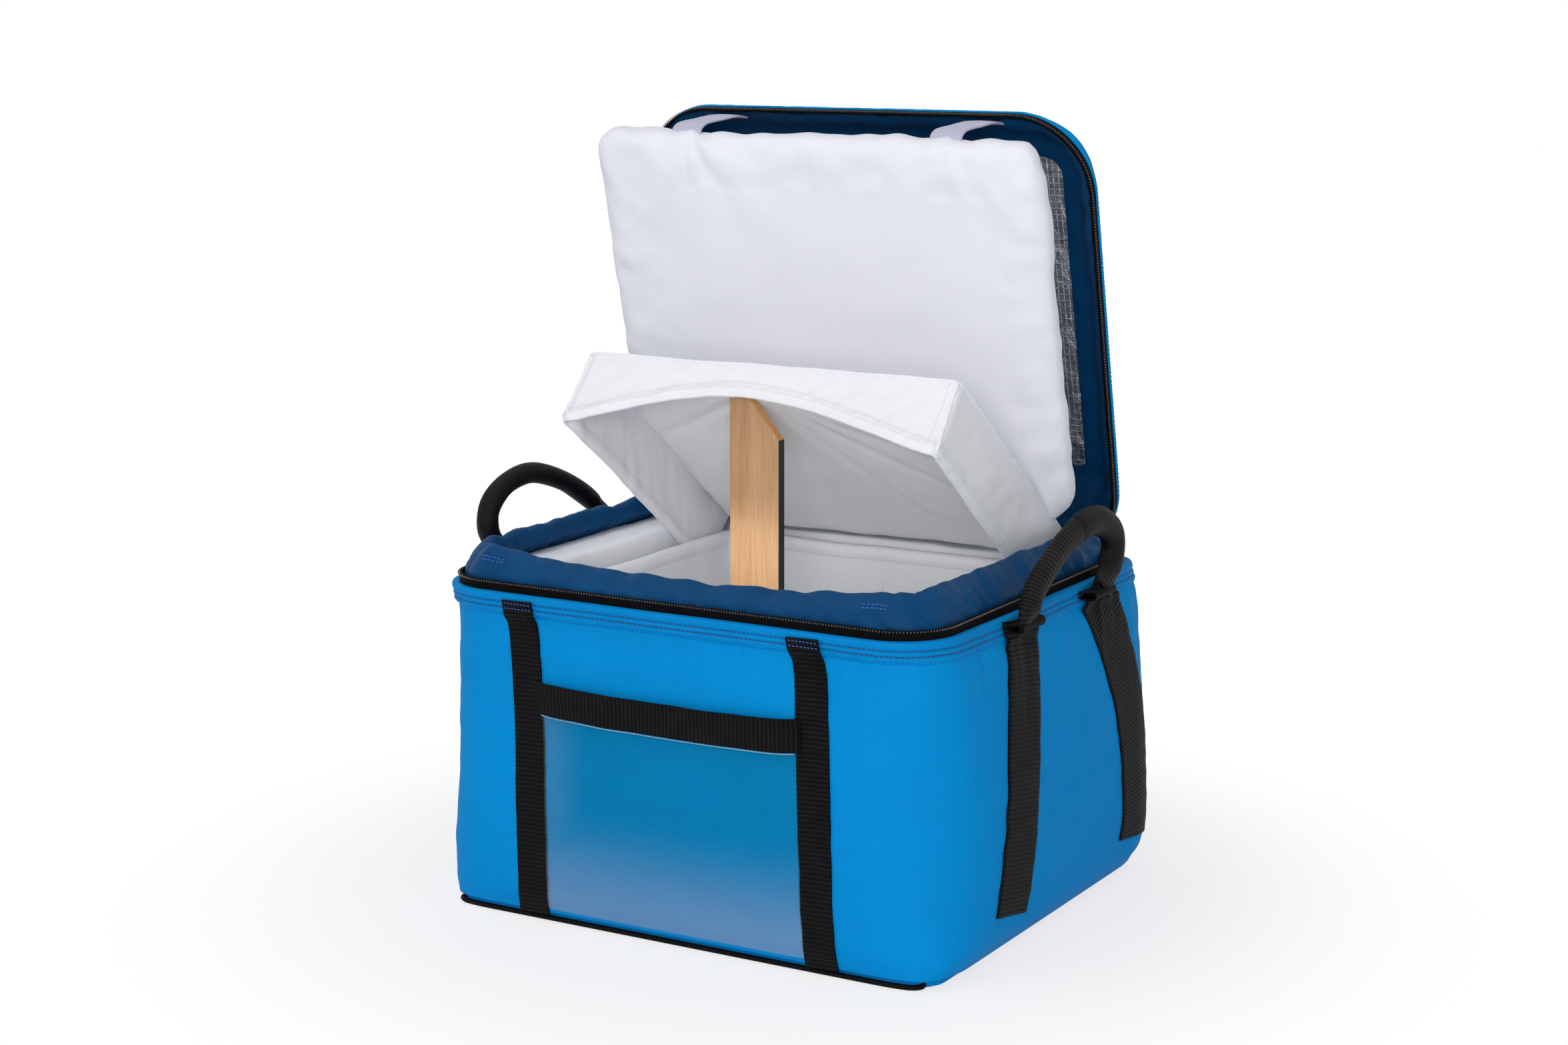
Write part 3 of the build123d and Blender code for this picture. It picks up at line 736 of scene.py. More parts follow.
print("collar and lid lining")
collar = {
    "section": [
        (2.3, -9.0), (3.2, -4.0), (3.8, 2.0), (6.2, 8.5), (10.5, 15.0), (15.5, 21.0), (20.5, 24.6),
        (24.5, 24.4), (27.5, 20.5), (28.4, 14.5), (27.0, 9.0), (22.0, 5.0), (14.0, -2.0), (8.0, -8.0),
        (2.3, -9.0)
    ]
}


def collarPlace(u, v):
    inset, h = alongPath(collar["section"], v)
    s = u * girth
    rise = clamp(h / 24)
    gather = (2.2 - 1.2 * rise) * softNoise(s / 10, h / 50, 1.3) + 2.6 * softNoise(s / 30, h / 40, 6.1)
    # short slanting tucks that start at the zip's seam
    tuck = 1 - min(abs(softNoise((s + 0.8 * h) / 24, h / 60, 4.7)) * 5, 1)
    gather -= 2.4 * tuck * math.exp(-((h - 6) / 11) ** 2)
    dents = 2.2 * rise * softNoise(s / 22, 8.8, v * 2)
    gather, dents = gather * meetFade(u), dents * meetFade(u)
    spot, n = bodyRim(u, inset, h)
    mid = Vector((0, 0, 1)) * (gather * rise + dents)
    # the front of the collar has settled between its corners
    sag = 11.0 * math.exp(-((spot.x / 165) ** 4)) if n.y < -0.5 else 0.0
    return spot + n * gather * 0.9 + mid - Vector((0, 0, sag * rise))


collarPiece = makeSkin("rimCollar", 460, 46, collarPlace, navyNylon, size=(girth * mm, 0.11))
give(collarPiece, "bag", "navy_lining", "rim_collar")
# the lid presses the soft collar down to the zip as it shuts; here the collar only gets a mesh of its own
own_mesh(collarPiece)

ring = {
    "section": [
        (1.6, 6.0), (3.6, 8.0), (8.0, 11.5), (12.5, 17.0), (16.5, 25.0), (20.5, 34.0), (25.5, 42.5),
        (32.0, 48.5), (40.0, 51.4), (47.0, 52.4), (51.0, 53.4), (48.0, 54.4), (42.0, 54.0), (28.0, 51.5),
        (20.0, 40.0), (13.5, 25.0), (6.0, 12.5), (1.6, 6.0)
    ]
}


def ringPlace(u, v):
    inset, h = alongPath(ring["section"], v)
    s = u * girth
    mouth = math.exp(-max(h - 8, 0) / 16)
    gather = (
        (0.5 + 1.5 * mouth) * softNoise(s / 9.0, h / 40, 2.9)
        + 2.4 * softNoise(s / 36, h / 40, 7.3) * (0.4 if inset > 38 else 1.0)
    )
    tuck = 1 - min(abs(softNoise((s - h) / 27, h / 70, 1.7)) * 5, 1)
    gather += 2.0 * tuck * math.exp(-((h - 18) / 14) ** 2)
    if v > 0.6:
        gather *= 0.2
    gather *= meetFade(u)
    spot, n = lidRim(u, inset, h)
    return (
        spot - n * gather * (0.9 if h < 46 else 0.1)
        - lidTurn(Vector((0, 0, 1))) * gather * (0.2 if h < 46 else 0.9)
    )


ringPiece = makeSkin("lidRing", 460, 70, ringPlace, navyNylon, size=(girth * mm, 0.16))
give(ringPiece, "outer_lid", "navy_lining", "lid_ring")

# outer lid: cloth from the zip, over rounded shoulders, to a slightly crowned top
lidShell = {
    "section": [
        (-0.6, 10.8), (-2.6, 11.6), (-2.4, 13.5), (-1.4, 15.4), (0.4, 16.4), (0.2, 17.4), (1.6, 20.0),
        (3.8, 21.2), (4.0, 22.8), (9.5, 31.0), (15.5, 42.0), (22.5, 53.0), (32.0, 62.0), (47.0, 68.0),
        (72.0, 71.5), (110.0, 73.4), (150.0, 74.4), (199.0, 75.0)
    ],
    "rows": ((-0.8, 16.4), (2.4, 21.2)),
}


def shellPlace(u, v):
    inset, h = alongPath(lidShell["section"], v)
    s = u * girth
    edge = math.exp(-max(h - 24, 0) / 20) if h > 23 else 0.3
    spot, n = lidRim(u, inset, h)
    at = lidLocal(spot)
    if v > 0.999:
        # both halves of the last ring close on one line
        spot = lidSpot(at.x, -199, h)
    gather = (
        1.1 * edge * softNoise(s / 9, h / 90, 4.6) * meetFade(u)
        + 1.6 * softNoise(at.x / 62, at.y / 54, 2.5) * smooth((h - 22) / 8)
    )
    # the cloth stands fuller at the free corner on the right
    corner = math.exp(-(((spot.x - 205) / 26) ** 2) - ((at.y + 372) / 36) ** 2)
    push = n if inset < 20 else lidTurn(Vector((0, 0, 1)))
    return spot + push * gather + n * 4.0 * corner * clamp((h - 12) / 10)


shellPiece = makeSkin(
    "lidShell", 420, 110, shellPlace, shellCloth, tuple(lidSpot(0, -199, 45)), (girth * mm, 0.3), 1.6
)
give(shellPiece, "outer_lid", "shell_cloth", "lid_shell")

lidRows = []
for row in lidShell["rows"]:
    line = [lidRim(k / 480, *row)[0] for k in range(481)]
    lidRows += runStitches(
        line, lambda p: lidTurn(Vector((p.x, -1.15 * ((p.z - 293) / lidSin - 199), 0))), 4.2
    )
give(sewStitches("lidStitches", lidRows, threadNavy, (3.3, 1.2, 1.0)), "outer_lid", "shell_cloth")

# foil behind the ring
foilSheet = {"inset": 46.0, "height": 54.6}


def foilPlace(u, v):
    spot = planPoint(u, foilSheet["inset"] + v * (199 - foilSheet["inset"]))[0]
    f = softNoise(spot.x / 13, spot.y / 19, 3.3) + 0.6 * softNoise(spot.x / 6, spot.y / 7, 8.1)
    seam = 1.4 * math.exp(-((((spot.y + 400) % 62) - 31) / 2.2) ** 2)
    lift = (1.3 * f + seam) * (1 if v > 0.17 else 0.2)
    return lidSpot(spot.x * 0.96, spot.y - 199, foilSheet["height"] - 0.6 - max(lift, -0.8))


foilPiece = makeSkin("lidFoil", 300, 90, foilPlace, foil, size=(1.0, 0.2))
give(foilPiece, "outer_lid", "foil", "lid_foil")

# sheet of foam between the foil and the cloth
foamSection = [
    (199.0, 56.0), (60.0, 56.0), (36.0, 56.0), (34.0, 58.0), (40.0, 61.5), (52.0, 64.5), (80.0, 68.0),
    (120.0, 70.0), (199.0, 71.5)
]


def foamPlace(u, v):
    inset, h = alongPath(foamSection, v)
    return lidRim(u, inset, h)[0]


foamPiece = makeSkin("lidFoam", 200, 40, foamPlace, whiteFoam, size=(girth * mm, 0.3))
give(foamPiece, "outer_lid", "lid_foam", "lid_foam")

print("padded pieces")
puffs = {"shrink": 2.5, "pressure": 4.0, "frames": 20}


def puffPad(name, node, mat, voxel, cap, shape=None, dress=None):
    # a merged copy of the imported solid, remeshed, blown up as cloth and capped
    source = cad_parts[node]
    bm = bmesh.new()
    bm.from_mesh(source.data)
    bmesh.ops.remove_doubles(bm, verts=bm.verts, dist=0.00001)
    low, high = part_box(node)
    middle = (low + high) / 2
    grow = [1 - 2 * puffs["shrink"] * mm / (high[k] - low[k]) for k in range(3)]
    bmesh.ops.scale(bm, vec=grow, verts=bm.verts, space=Matrix.Translation(-middle))
    if shape:
        for vert in bm.verts:
            vert.co = shape(vert.co / mm) * mm
    mesh = bpy.data.meshes.new(name)
    bm.to_mesh(mesh)
    bm.free()
    piece = bpy.data.objects.new(name, mesh)
    bpy.context.scene.collection.objects.link(piece)
    even = piece.modifiers.new("even", "REMESH")
    even.mode = "VOXEL"
    even.voxel_size = voxel * mm
    graph = bpy.context.evaluated_depsgraph_get()
    piece.data = bpy.data.meshes.new_from_object(piece.evaluated_get(graph))
    piece.modifiers.clear()
    rest = [v.co.copy() for v in piece.data.vertices]
    cloth = piece.modifiers.new("cloth", "CLOTH")
    cloth.settings.use_pressure = True
    cloth.settings.uniform_pressure_force = puffs["pressure"]
    cloth.settings.effector_weights.gravity = 0.0
    cloth.point_cache.frame_start = 1
    cloth.point_cache.frame_end = puffs["frames"]
    for k in range(1, puffs["frames"] + 1):
        bpy.context.scene.frame_set(k)
    graph = bpy.context.evaluated_depsgraph_get()
    blown = bpy.data.meshes.new_from_object(piece.evaluated_get(graph))
    piece.modifiers.clear()
    bpy.context.scene.frame_set(1)
    for vert, start in zip(blown.vertices, rest):
        push = vert.co - start
        if push.length > 1e-9:
            vert.co = start + push * (math.tanh(push.length / (cap * mm)) * cap * mm / push.length)
    piece.data = blown
    bm = bmesh.new()
    bm.from_mesh(piece.data)
    bmesh.ops.smooth_vert(bm, verts=bm.verts, factor=0.5, use_axis_x=True, use_axis_y=True, use_axis_z=True)
    if dress:
        bm.normal_update()
        pushes = [dress(vert.co / mm, vert.normal) for vert in bm.verts]
        for vert, push in zip(bm.verts, pushes):
            vert.co += push * mm
    bm.to_mesh(piece.data)
    bm.free()
    piece.data.name = name
    piece.data.materials.clear()
    piece.data.materials.append(mat)
    piece.data.polygons.foreach_set("use_smooth", [True] * len(piece.data.polygons))
    finer = piece.modifiers.new("finer", "SUBSURF")
    finer.levels = finer.render_levels = 1
    return piece


def ridge(value):
    return 1 - min(abs(value) * 2.6, 1)


hangingPad = {"forward": 6.0, "left": 7.5, "up": 20.0, "wide": 1.048, "drop": 16.0}


def shapeHangingPad(p):
    at = lidLocal(p)
    x = at.x * hangingPad["wide"] - hangingPad["left"]
    along = clamp((-at.y - 60) / 300)
    ly = at.y - hangingPad["up"] * along + hangingPad["drop"] * (1 - along) ** 2
    outline = 2.2 * softNoise(at.x / 55, at.y / 55, 3.0)
    return lidSpot(
        x + outline * (1 if abs(at.x) > 150 else 0), ly + outline * (1 if at.y < -330 else 0),
        at.z - hangingPad["forward"]
    )


def dressHangingPad(p, n):
    at = lidLocal(p)
    push = 3.0 * softNoise(at.x / 120, at.y / 95, 1.1) + 1.1 * softNoise(at.x / 45, at.y / 36, 7.0)
    # folds that fan out from where each loop pulls the top edge
    for x, pull in ((-128, 1.0), (128, 0.55)):
        away = Vector((at.x - x, at.y + 398))
        angle = math.atan2(away.y, away.x)
        push += pull * 6.0 * math.exp(-away.length / 85) * softNoise(angle * 3.4, away.length / 160, 5.5)
    if abs(at.x) > 170 or at.y < -345 or at.y > -90:
        push += 2.6 * softNoise(at.x / 22, at.y / 22, 4.1)
    push -= 1.8 * ridge(softNoise(at.x / 190 + at.y / 260, at.y / 90 - at.x / 300, 6.6)) * 0.35
    return n * push


padPiece = puffPad("hangingPad", "lid_pad", padNylon, 5.0, 5.0, shapeHangingPad, dressHangingPad)
give(padPiece, "hanging_pad", "pad_cloth", "lid_pad")
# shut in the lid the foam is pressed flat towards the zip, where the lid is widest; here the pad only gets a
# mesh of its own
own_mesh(padPiece)


def raiseInsulation(p):
    # the pads' tops are pushed up to the collar
    return p + Vector((0, 0, 15 * smooth((p.z - 235) / 45)))


def dressInsulation(p, n):
    return n * (
        1.3 * softNoise(p.x / 60, p.y / 60, p.z / 60) + 0.8 * softNoise(p.x / 19, p.y / 25, p.z / 30)
    )


for node, voxel in {
    "left_pad": 7.0, "right_pad": 7.0, "front_pad": 7.0, "rear_pad": 7.0, "floor_pad": 9.0
}.items():
    words = node.split("_")
    pad = puffPad(
        words[0] + "Insulation", node, insulationCloth, voxel, 2.0, raiseInsulation, dressInsulation
    )
    give(pad, "bag", "insulation_cloth", node)

print("payload lid")
payload = {
    "centre": 12.0, "half": 179.0, "depth": 286.0, "corner": 7.0, "skirt": 66.0, "top": 22.0, "arch": 38.0,
    "archAt": 0.44
}
payHinge = {"y": 148.0, "z": 278.0, "open": math.radians(37.5)}
payCos, paySin = math.cos(payHinge["open"]), math.sin(payHinge["open"])


def payloadSpot(x, ly, lz):
    y = payHinge["y"] + payCos * ly + paySin * lz
    return Vector((x, y, payHinge["z"] - paySin * ly + payCos * lz))


def payloadTurn(v):
    return Vector((v.x, payCos * v.y + paySin * v.z, -paySin * v.y + payCos * v.z))


def payloadLocal(p):
    y, z = p.y - payHinge["y"], p.z - payHinge["z"]
    return Vector((p.x, payCos * y - paySin * z, paySin * y + payCos * z))


def skirtRun(u):
    # from the left rear, round the front, to the right rear: point, outward direction, share across the front
    half, deep, r = payload["half"], payload["depth"], payload["corner"]
    lengths = [deep - r, math.pi * r / 2, 2 * (half - r), math.pi * r / 2, deep - r]
    s = clamp(u) * sum(lengths)
    k = 0
    while k < 4 and s > lengths[k]:
        s -= lengths[k]
        k += 1
    f = s / lengths[k]
    c = payload["centre"]
    if k == 0:
        return Vector((c - half, -(deep - r) * f, 0)), Vector((-1, 0, 0)), 0.0
    if k == 4:
        return Vector((c + half, -(deep - r) * (1 - f), 0)), Vector((1, 0, 0)), 1.0
    if k == 2:
        return Vector((c - half + r + 2 * (half - r) * f, -deep, 0)), Vector((0, -1, 0)), f
    angle = math.radians((180 if k == 1 else 270) + 90 * f)
    n = Vector((math.cos(angle), math.sin(angle), 0))
    x = c - half + r if k == 1 else c + half - r
    return Vector((x, -deep + r, 0)) + n * r, n, 0.0 if k == 1 else 1.0


skirtSide = payload["depth"] - payload["corner"]
skirtLength = 2 * skirtSide + 2 * (payload["half"] - payload["corner"]) + math.pi * payload["corner"]


def hemDepth(share):
    # the front hem bows up over the stick
    at = payload["archAt"]
    w = share / (2 * at) if share < at else 0.5 + (share - at) / (2 * (1 - at))
    return payload["skirt"] - payload["arch"] * math.sin(math.pi * w) ** 1.15


skirtSection = [
    (-4.6, -1.5), (-2.0, -2.4), (0.2, -0.6), (1.0, 3.0), (1.4, 14.0), (1.2, 34.0), (0.6, 54.0), (1.6, 59.5),
    (1.5, 63.5), (-0.6, 66.6), (-3.4, 67.0), (-5.6, 64.5), (-5.8, 60.0), (-4.8, 54.0), (-4.8, 30.0),
    (-4.8, 4.0), (-4.6, -1.5)
]


def skirtPoint(u, out, drop):
    spot, n, share = skirtRun(u)
    depth = hemDepth(share)
    reach = drop if drop < 0 else drop * (depth - 12) / 54
    if drop > 54:
        reach = depth - (payload["skirt"] - drop)
    s = u * skirtLength
    if n.y < -0.6:
        crease = (
            1.2 * softNoise((s + reach * 1.3) / 10, (s - reach) / 46, 2.0)
            + 1.2 * softNoise(s / 70, reach / 40, 5.0)
        )
    else:
        crease = (
            1.1 * softNoise((s + reach) / 17, (s - reach) / 52, 8.0)
            + 2.0 * softNoise(s / 80, reach / 45, 3.0)
        )
    crease *= min(max((reach + 3) / 16, 0.25), 1)
    bow = -4.0 * math.sin(math.pi * clamp(-spot.y / payload["depth"])) * abs(n.x) * (reach / 66)
    flare = 3.0 * (reach / 66) ** 2 * (abs(n.y) + 0.3)
    at = spot + n * (out + crease + bow + flare)
    lift = 1.2 * softNoise(s / 60, 1.0, 9.0)
    return payloadSpot(at.x, at.y, payload["top"] - reach + lift), payloadTurn(n)


def skirtPlace(u, v):
    out, drop = alongPath(skirtSection, v)
    return skirtPoint(u, out, drop)[0]


skirtPiece = makeSkin("payloadLidSkirt", 330, 64, skirtPlace, payloadCloth, size=(skirtLength * mm, 0.15))
give(skirtPiece, "inner_lid", "payload_lid_cloth", "inner_lid_skirt")


def shapePanel(p):
    at = payloadLocal(p)
    return payloadSpot(at.x, at.y, 9.0 + (at.z - 2.5) * 0.78)


def dressPanel(p, n):
    at = payloadLocal(p)
    fan = math.atan2(at.y + 270, at.x + 4)
    reach = Vector((at.x + 4, at.y + 270)).length
    push = 2.0 * softNoise(fan * 4.2, reach / 240, 2.4) * min(reach / 60, 1) * math.exp(-reach / 330)
    for angle, depth in ((9, 1.6), (20, 2.6), (33, 2.2), (47, 2.8), (66, 1.8), (118, 2.0), (146, 2.6)):
        across = (fan - math.radians(angle) - 0.08 * softNoise(reach / 70, angle, 1.0)) * reach
        push -= depth * math.exp(-((across / 6) ** 2)) * min(reach / 40, 1) * math.exp(-reach / 210)
    push += 1.0 * softNoise(at.x / 45, at.y / 45, 1.9)
    return n * push


panelPiece = puffPad("payloadLidPanel", "inner_lid_panel", payloadCloth, 5.0, 4.0, shapePanel, dressPanel)
give(panelPiece, "inner_lid", "payload_lid_cloth", "inner_lid_panel")

# piped seams: hem, top edge and the two front corners; two rows of stitches run above the hem and beside each
# corner seam
seams = {"hemRadius": 1.9, "topRadius": 1.5}
hemLine = [skirtPoint(k / 200, -1.6, 66.6)[0] for k in range(201)]
topLine = [skirtPoint(k / 200, 0.4, -0.6)[0] for k in range(201)]
give(
    makeTube("payloadHemPiping", hemLine, seams["hemRadius"], payloadCloth, 400, 10), "inner_lid",
    "payload_lid_cloth"
)
give(
    makeTube("payloadTopPiping", topLine, seams["topRadius"], payloadCloth, 400, 8), "inner_lid",
    "payload_lid_cloth"
)
seamSpots = []
for drop in (60.5, 55.5):
    for k in range(0, 290):
        spot, n = skirtPoint(k / 290, 1.9, drop)
        ahead = skirtPoint((k + 0.5) / 290, 1.9, drop)[0] - spot
        seamSpots.append((spot, ahead, n))
cornerU = [(skirtSide + 5.5) / skirtLength, 1 - (skirtSide + 5.5) / skirtLength]
for number, u in enumerate(cornerU):
    line = [skirtPoint(u, 0.8, drop)[0] for drop in range(0, 65, 4)]
    name = ("payloadCornerLeft", "payloadCornerRight")[number]
    give(makeTube(name, line, 1.9, payloadCloth, 60, 8), "inner_lid", "payload_lid_cloth")
    for shift in (-5.5, 5.5):
        for drop in range(3, 60, 4):
            spot, n = skirtPoint(u + shift / skirtLength, 1.8, drop)
            seamSpots.append((spot, skirtPoint(u + shift / skirtLength, 1.8, drop + 1)[0] - spot, n))
give(
    sewStitches("payloadStitches", seamSpots, threadWhite, (2.8, 0.9, 0.8)), "inner_lid",
    "payload_lid_cloth"
)

print("payload box")
box = {"width": 338.0, "depth": 275.0, "corner": 8.0, "x": 12.0, "y": 10.5}
boxSection = [
    (0.0, 55.2), (0.0, 120.0), (0.0, 200.0), (0.0, 262.0), (-0.4, 267.0), (-1.8, 270.5), (-2.2, 275.0),
    (0.4, 279.6), (4.0, 280.4), (7.4, 278.0), (8.4, 273.0), (7.2, 268.5), (6.2, 262.0), (6.0, 200.0),
    (6.0, 130.0), (6.2, 75.0), (9.0, 63.0), (16.0, 61.2), (50.0, 61.0), (95.0, 61.0), (137.5, 61.0)
]


def boxPoint(u, inset, z):
    spot, n = loopPoint(u, box["width"], box["depth"], box["corner"], inset)
    s = u * 1190
    high = clamp((z - 70) / 190)
    bow = -3.5 * math.sin(math.pi * high) * (1 if 3 < inset < 12 else 0.2)
    crease = 0.9 * softNoise(s / 40, z / 50, inset / 40) + (
        0.7 * softNoise(s / 12, z / 60, 4.0) if z > 255 else 0
    )
    sway = 1.6 * high * softNoise(s / 90, 6.0, 1.0)
    spot = spot + n * (bow + crease * min(high * 2, 1))
    dish = -1.5 * softNoise(spot.x / 50, spot.y / 50, 3.0) if inset > 12 else 0
    return Vector((spot.x + box["x"], spot.y + box["y"], z + sway + dish)), n


def boxPlace(u, v):
    inset, z = alongPath(boxSection, v)
    return boxPoint(u, inset, z)[0]


boxPiece = makeSkin("payloadBox", 300, 100, boxPlace, boxCloth, size=(1.19, 0.6))
give(boxPiece, "bag", "payload_box_cloth", "payload_box")
boxSpots = []
for inset in (-0.9, 7.2):
    for k in range(290):
        spot, n = boxPoint(k / 290, inset, 268.6)
        ahead = boxPoint((k + 0.5) / 290, inset, 268.6)[0] - spot
        boxSpots.append((spot, ahead, n if inset < 0 else -n))
give(sewStitches("boxStitches", boxSpots, threadWhite, (2.8, 0.9, 0.8)), "bag", "payload_box_cloth")

# prop stick: a strip of plywood with one corner cut off and black edge band on its long edges
stick = {
    "left": -26.0, "right": 22.0, "front": -64.0, "back": -54.0, "low": 61.2, "high": 442.0,
    "cutAcross": 29.0, "cutDown": 34.0
}
bm = bmesh.new()
outline = [
    (stick["left"], stick["low"]), (stick["right"], stick["low"]),
    (stick["right"], stick["high"] - stick["cutDown"]),
    (stick["right"] - stick["cutAcross"], stick["high"]), (stick["left"], stick["high"])
]
face = bm.faces.new([bm.verts.new(Vector((x, stick["front"], z)) * mm) for x, z in outline])
back = bmesh.ops.extrude_face_region(bm, geom=[face])
bmesh.ops.translate(
    bm, vec=(0, (stick["back"] - stick["front"]) * mm, 0),
    verts=[g for g in back["geom"] if isinstance(g, bmesh.types.BMVert)]
)
bmesh.ops.recalc_face_normals(bm, faces=bm.faces)
for face in bm.faces:
    if abs(face.normal.x) > 0.99:
        face.material_index = 1
    elif abs(face.normal.y) < 0.1:
        face.material_index = 2
bmesh.ops.bevel(
    bm, geom=list(bm.edges), offset=0.5 * mm, affect="EDGES", segments=2, profile=0.5, material=-1
)
stickPiece = finishPiece("propStick", bm, [plywood, edgeBand, plywoodCut], smooth=False)
give(stickPiece, "bag", "stick_plywood", "prop_stick")

print("webbing")


def stripOut(z):
    # webbing lies on the wall and steps out over the hem
    return 2.0 + 4.2 * smooth((z - 258) / 10)


def wallStrip(name, middle, width, low, high, mat, turn, lift=stripOut, cuts=180):
    # middle(z) is the strip's centre along the wall; turn makes it a share of the girth;
    # ribs and ends lie square to the strip's run
    def place(u, v):
        z = low + (high - low) * v
        slope = (middle(z + 1) - middle(z - 1)) / 2
        across = (u - 0.5) * width
        edge = min(u, 1 - u) * width
        sink = 0.5 * math.exp(-edge / 0.8)
        c = middle(z) + across / math.sqrt(1 + slope * slope)
        z -= across * slope / math.sqrt(1 + slope * slope)
        return wallPoint(turn(c), z, lift(z) - sink)[0]

    return makeSkin(name, 22, cuts, place, mat, (0, 0, 150), (width * mm, (high - low) * mm), 1.5)


for side in ("left", "right"):
    name = "strap" + side.capitalize()
    strap = wallStrip(
        name, lambda z, side=side: strapMiddle(side, z), straps["width"], straps["low"], straps["high"],
        webbing, frontT
    )
    give(strap, "bag", "webbing", "strap_" + side)
tackSpots = []
for side in ("left", "right"):
    for z in (276.6, 272.4):
        line = [wallPoint(frontT(strapMiddle(side, z) - 13 + 26 * k / 8), z, 6.5)[0] for k in range(9)]
        tackSpots += runStitches(line, Vector((0, -1, 0)), 3.4)
give(sewStitches("strapTacks", tackSpots, threadBlue, (2.6, 0.9, 0.8)), "bag", "webbing")

pocket = {"low": 13.0, "high": 211.0, "bandLow": 185.0, "bandHigh": 212.0, "tuck": 3.0, "wide": 245.0}


def betweenStraps(u, z, tuck):
    # u runs 0 to 1 between the inner edges of the straps, each of which covers a tuck of cloth
    left = strapMiddle("left", z) + straps["width"] / 2 - tuck
    right = strapMiddle("right", z) - straps["width"] / 2 + tuck
    return left + (right - left) * u


def filmPlace(u, v):
    z = pocket["low"] + (pocket["high"] - pocket["low"]) * v
    x = betweenStraps(u, z, pocket["tuck"])
    edge = min(u, 1 - u) * pocket["wide"]
    rise = 1 - math.exp(-edge / 14)
    low = 1 - math.exp(-(z - 8) / 16)
    out = 1.2 + 5.2 * rise * low
    return wallPoint(frontT(x), z, out)[0] + Vector((0, 0, -3.0 * math.sin(math.pi * u) * v))


filmPiece = makeSkin("windowFilm", 90, 80, filmPlace, clearFilm, (0, 0, 150), (0.2454, 0.198), 0.8)
give(filmPiece, "bag", "clear_film", "window_pocket")


def bandPlace(u, v):
    sag = -3.5 * math.sin(math.pi * u) + 0.8 * softNoise(u * 5, 3.0, 1.0)
    z = pocket["bandLow"] + (pocket["bandHigh"] - pocket["bandLow"]) * v
    x = betweenStraps(u, z, 5.0)
    ends = math.exp(-min(u, 1 - u) * pocket["wide"] / 10)
    out = 8.6 - 4.6 * ends + 0.8 * softNoise(u * 9, v * 2, 6.0)
    return wallPoint(frontT(x), z, out)[0] + Vector((0, 0, sag))


# the band's ribs cross it, so its map runs along its length
bandPiece = makeSkin("pocketBand", 120, 16, bandPlace, webbing, (0, 0, 150), (0.2554, 0.027), 1.5)
for loop in bandPiece.data.uv_layers[0].data:
    loop.uv = (loop.uv[1], loop.uv[0])
give(bandPiece, "bag", "webbing", "pocket_band")
edgeLine = [Vector(bandPlace(k / 60, 0)) + Vector((0, 0.9, -1.2)) for k in range(1, 60)]
give(
    makeTube(
        "filmEdge", edgeLine, 0.6,
        plainFinish(
            "filmWelt", "#5F93B4", "#8FB4CC", {"Roughness": 0.3, "Specular IOR Level": 0.5}, 0.02, 0.002,
            0.0001
        ),
        120, 6
    ),
    "bag", "clear_film"
)

handles = {
    "front": -61.0, "rear": 82.0, "width": 58.0, "top": 279.0, "low": 38.0,
    "bow": {"front": -16.0, "rear": 60.0}, "slant": {"front": -36.0, "rear": 70.0}, "x": 255.5,
    "fold": 276.0
}
for side, turn in (("left", leftT), ("right", rightT)):
    hand = -1 if side == "left" else 1
    for place in ("front", "rear"):
        base = handles[place]

        def legMiddle(z, base=base, place=place):
            f = (handles["top"] - z) / (handles["top"] - handles["low"])
            bow, slant = handles["bow"][place], handles["slant"][place]
            return base + slant * f + (bow - slant / 2) * 4 * f * (1 - f)

        leg = wallStrip(
            "leg" + side.capitalize() + place.capitalize(), legMiddle, handles["width"], handles["low"],
            handles["top"], webbing, turn
        )
        give(leg, "bag", "webbing", f"leg_{side}_{place}")

        def foldPlace(u, v, base=base, hand=hand):
            # the webbing turns out of the wall, round the end of the grip, and back
            path = [
                (-15.5, -1.0), (-9.0, -3.2), (-1.5, -4.3), (3.0, -3.0), (4.3, 0.2), (2.8, 3.4), (-2.0, 4.1),
                (-9.0, 3.0), (-15.0, 2.0)
            ]
            out, up = alongPath(path, v)
            pinch = 1 - 0.12 * clamp((out + 6) / 8)
            wave = 0.8 * softNoise(u * 4, v * 4, base / 10)
            return (
                hand * (handles["x"] + out + wave * 0.5), base + (u - 0.5) * 47 * pinch,
                handles["fold"] + up + wave
            )

        fold = makeSkin(
            "fold" + side.capitalize() + place.capitalize(), 20, 40, foldPlace, webbing,
            (hand * handles["x"], base, handles["fold"]), (0.047, 0.06), 1.4
        )
        give(fold, "bag", "webbing", f"fold_{side}_{place}")

grips = {
    "left": [
        (-61, 278), (-73, 286), (-90, 301), (-96, 318), (-86, 336), (-58, 349), (-24, 351), (18, 338),
        (54, 319), (78, 300), (86, 280)
    ],
    "right": [
        (-61, 278), (-63, 290), (-52, 305), (-26, 321), (4, 333), (36, 341), (66, 341), (92, 330),
        (102, 314), (96, 296), (84, 280)
    ],
    "wrap": {"left": (0.12, 0.86), "right": (0.46, 0.92)},
    "half": {"left": 8.0, "right": 11.5},
}


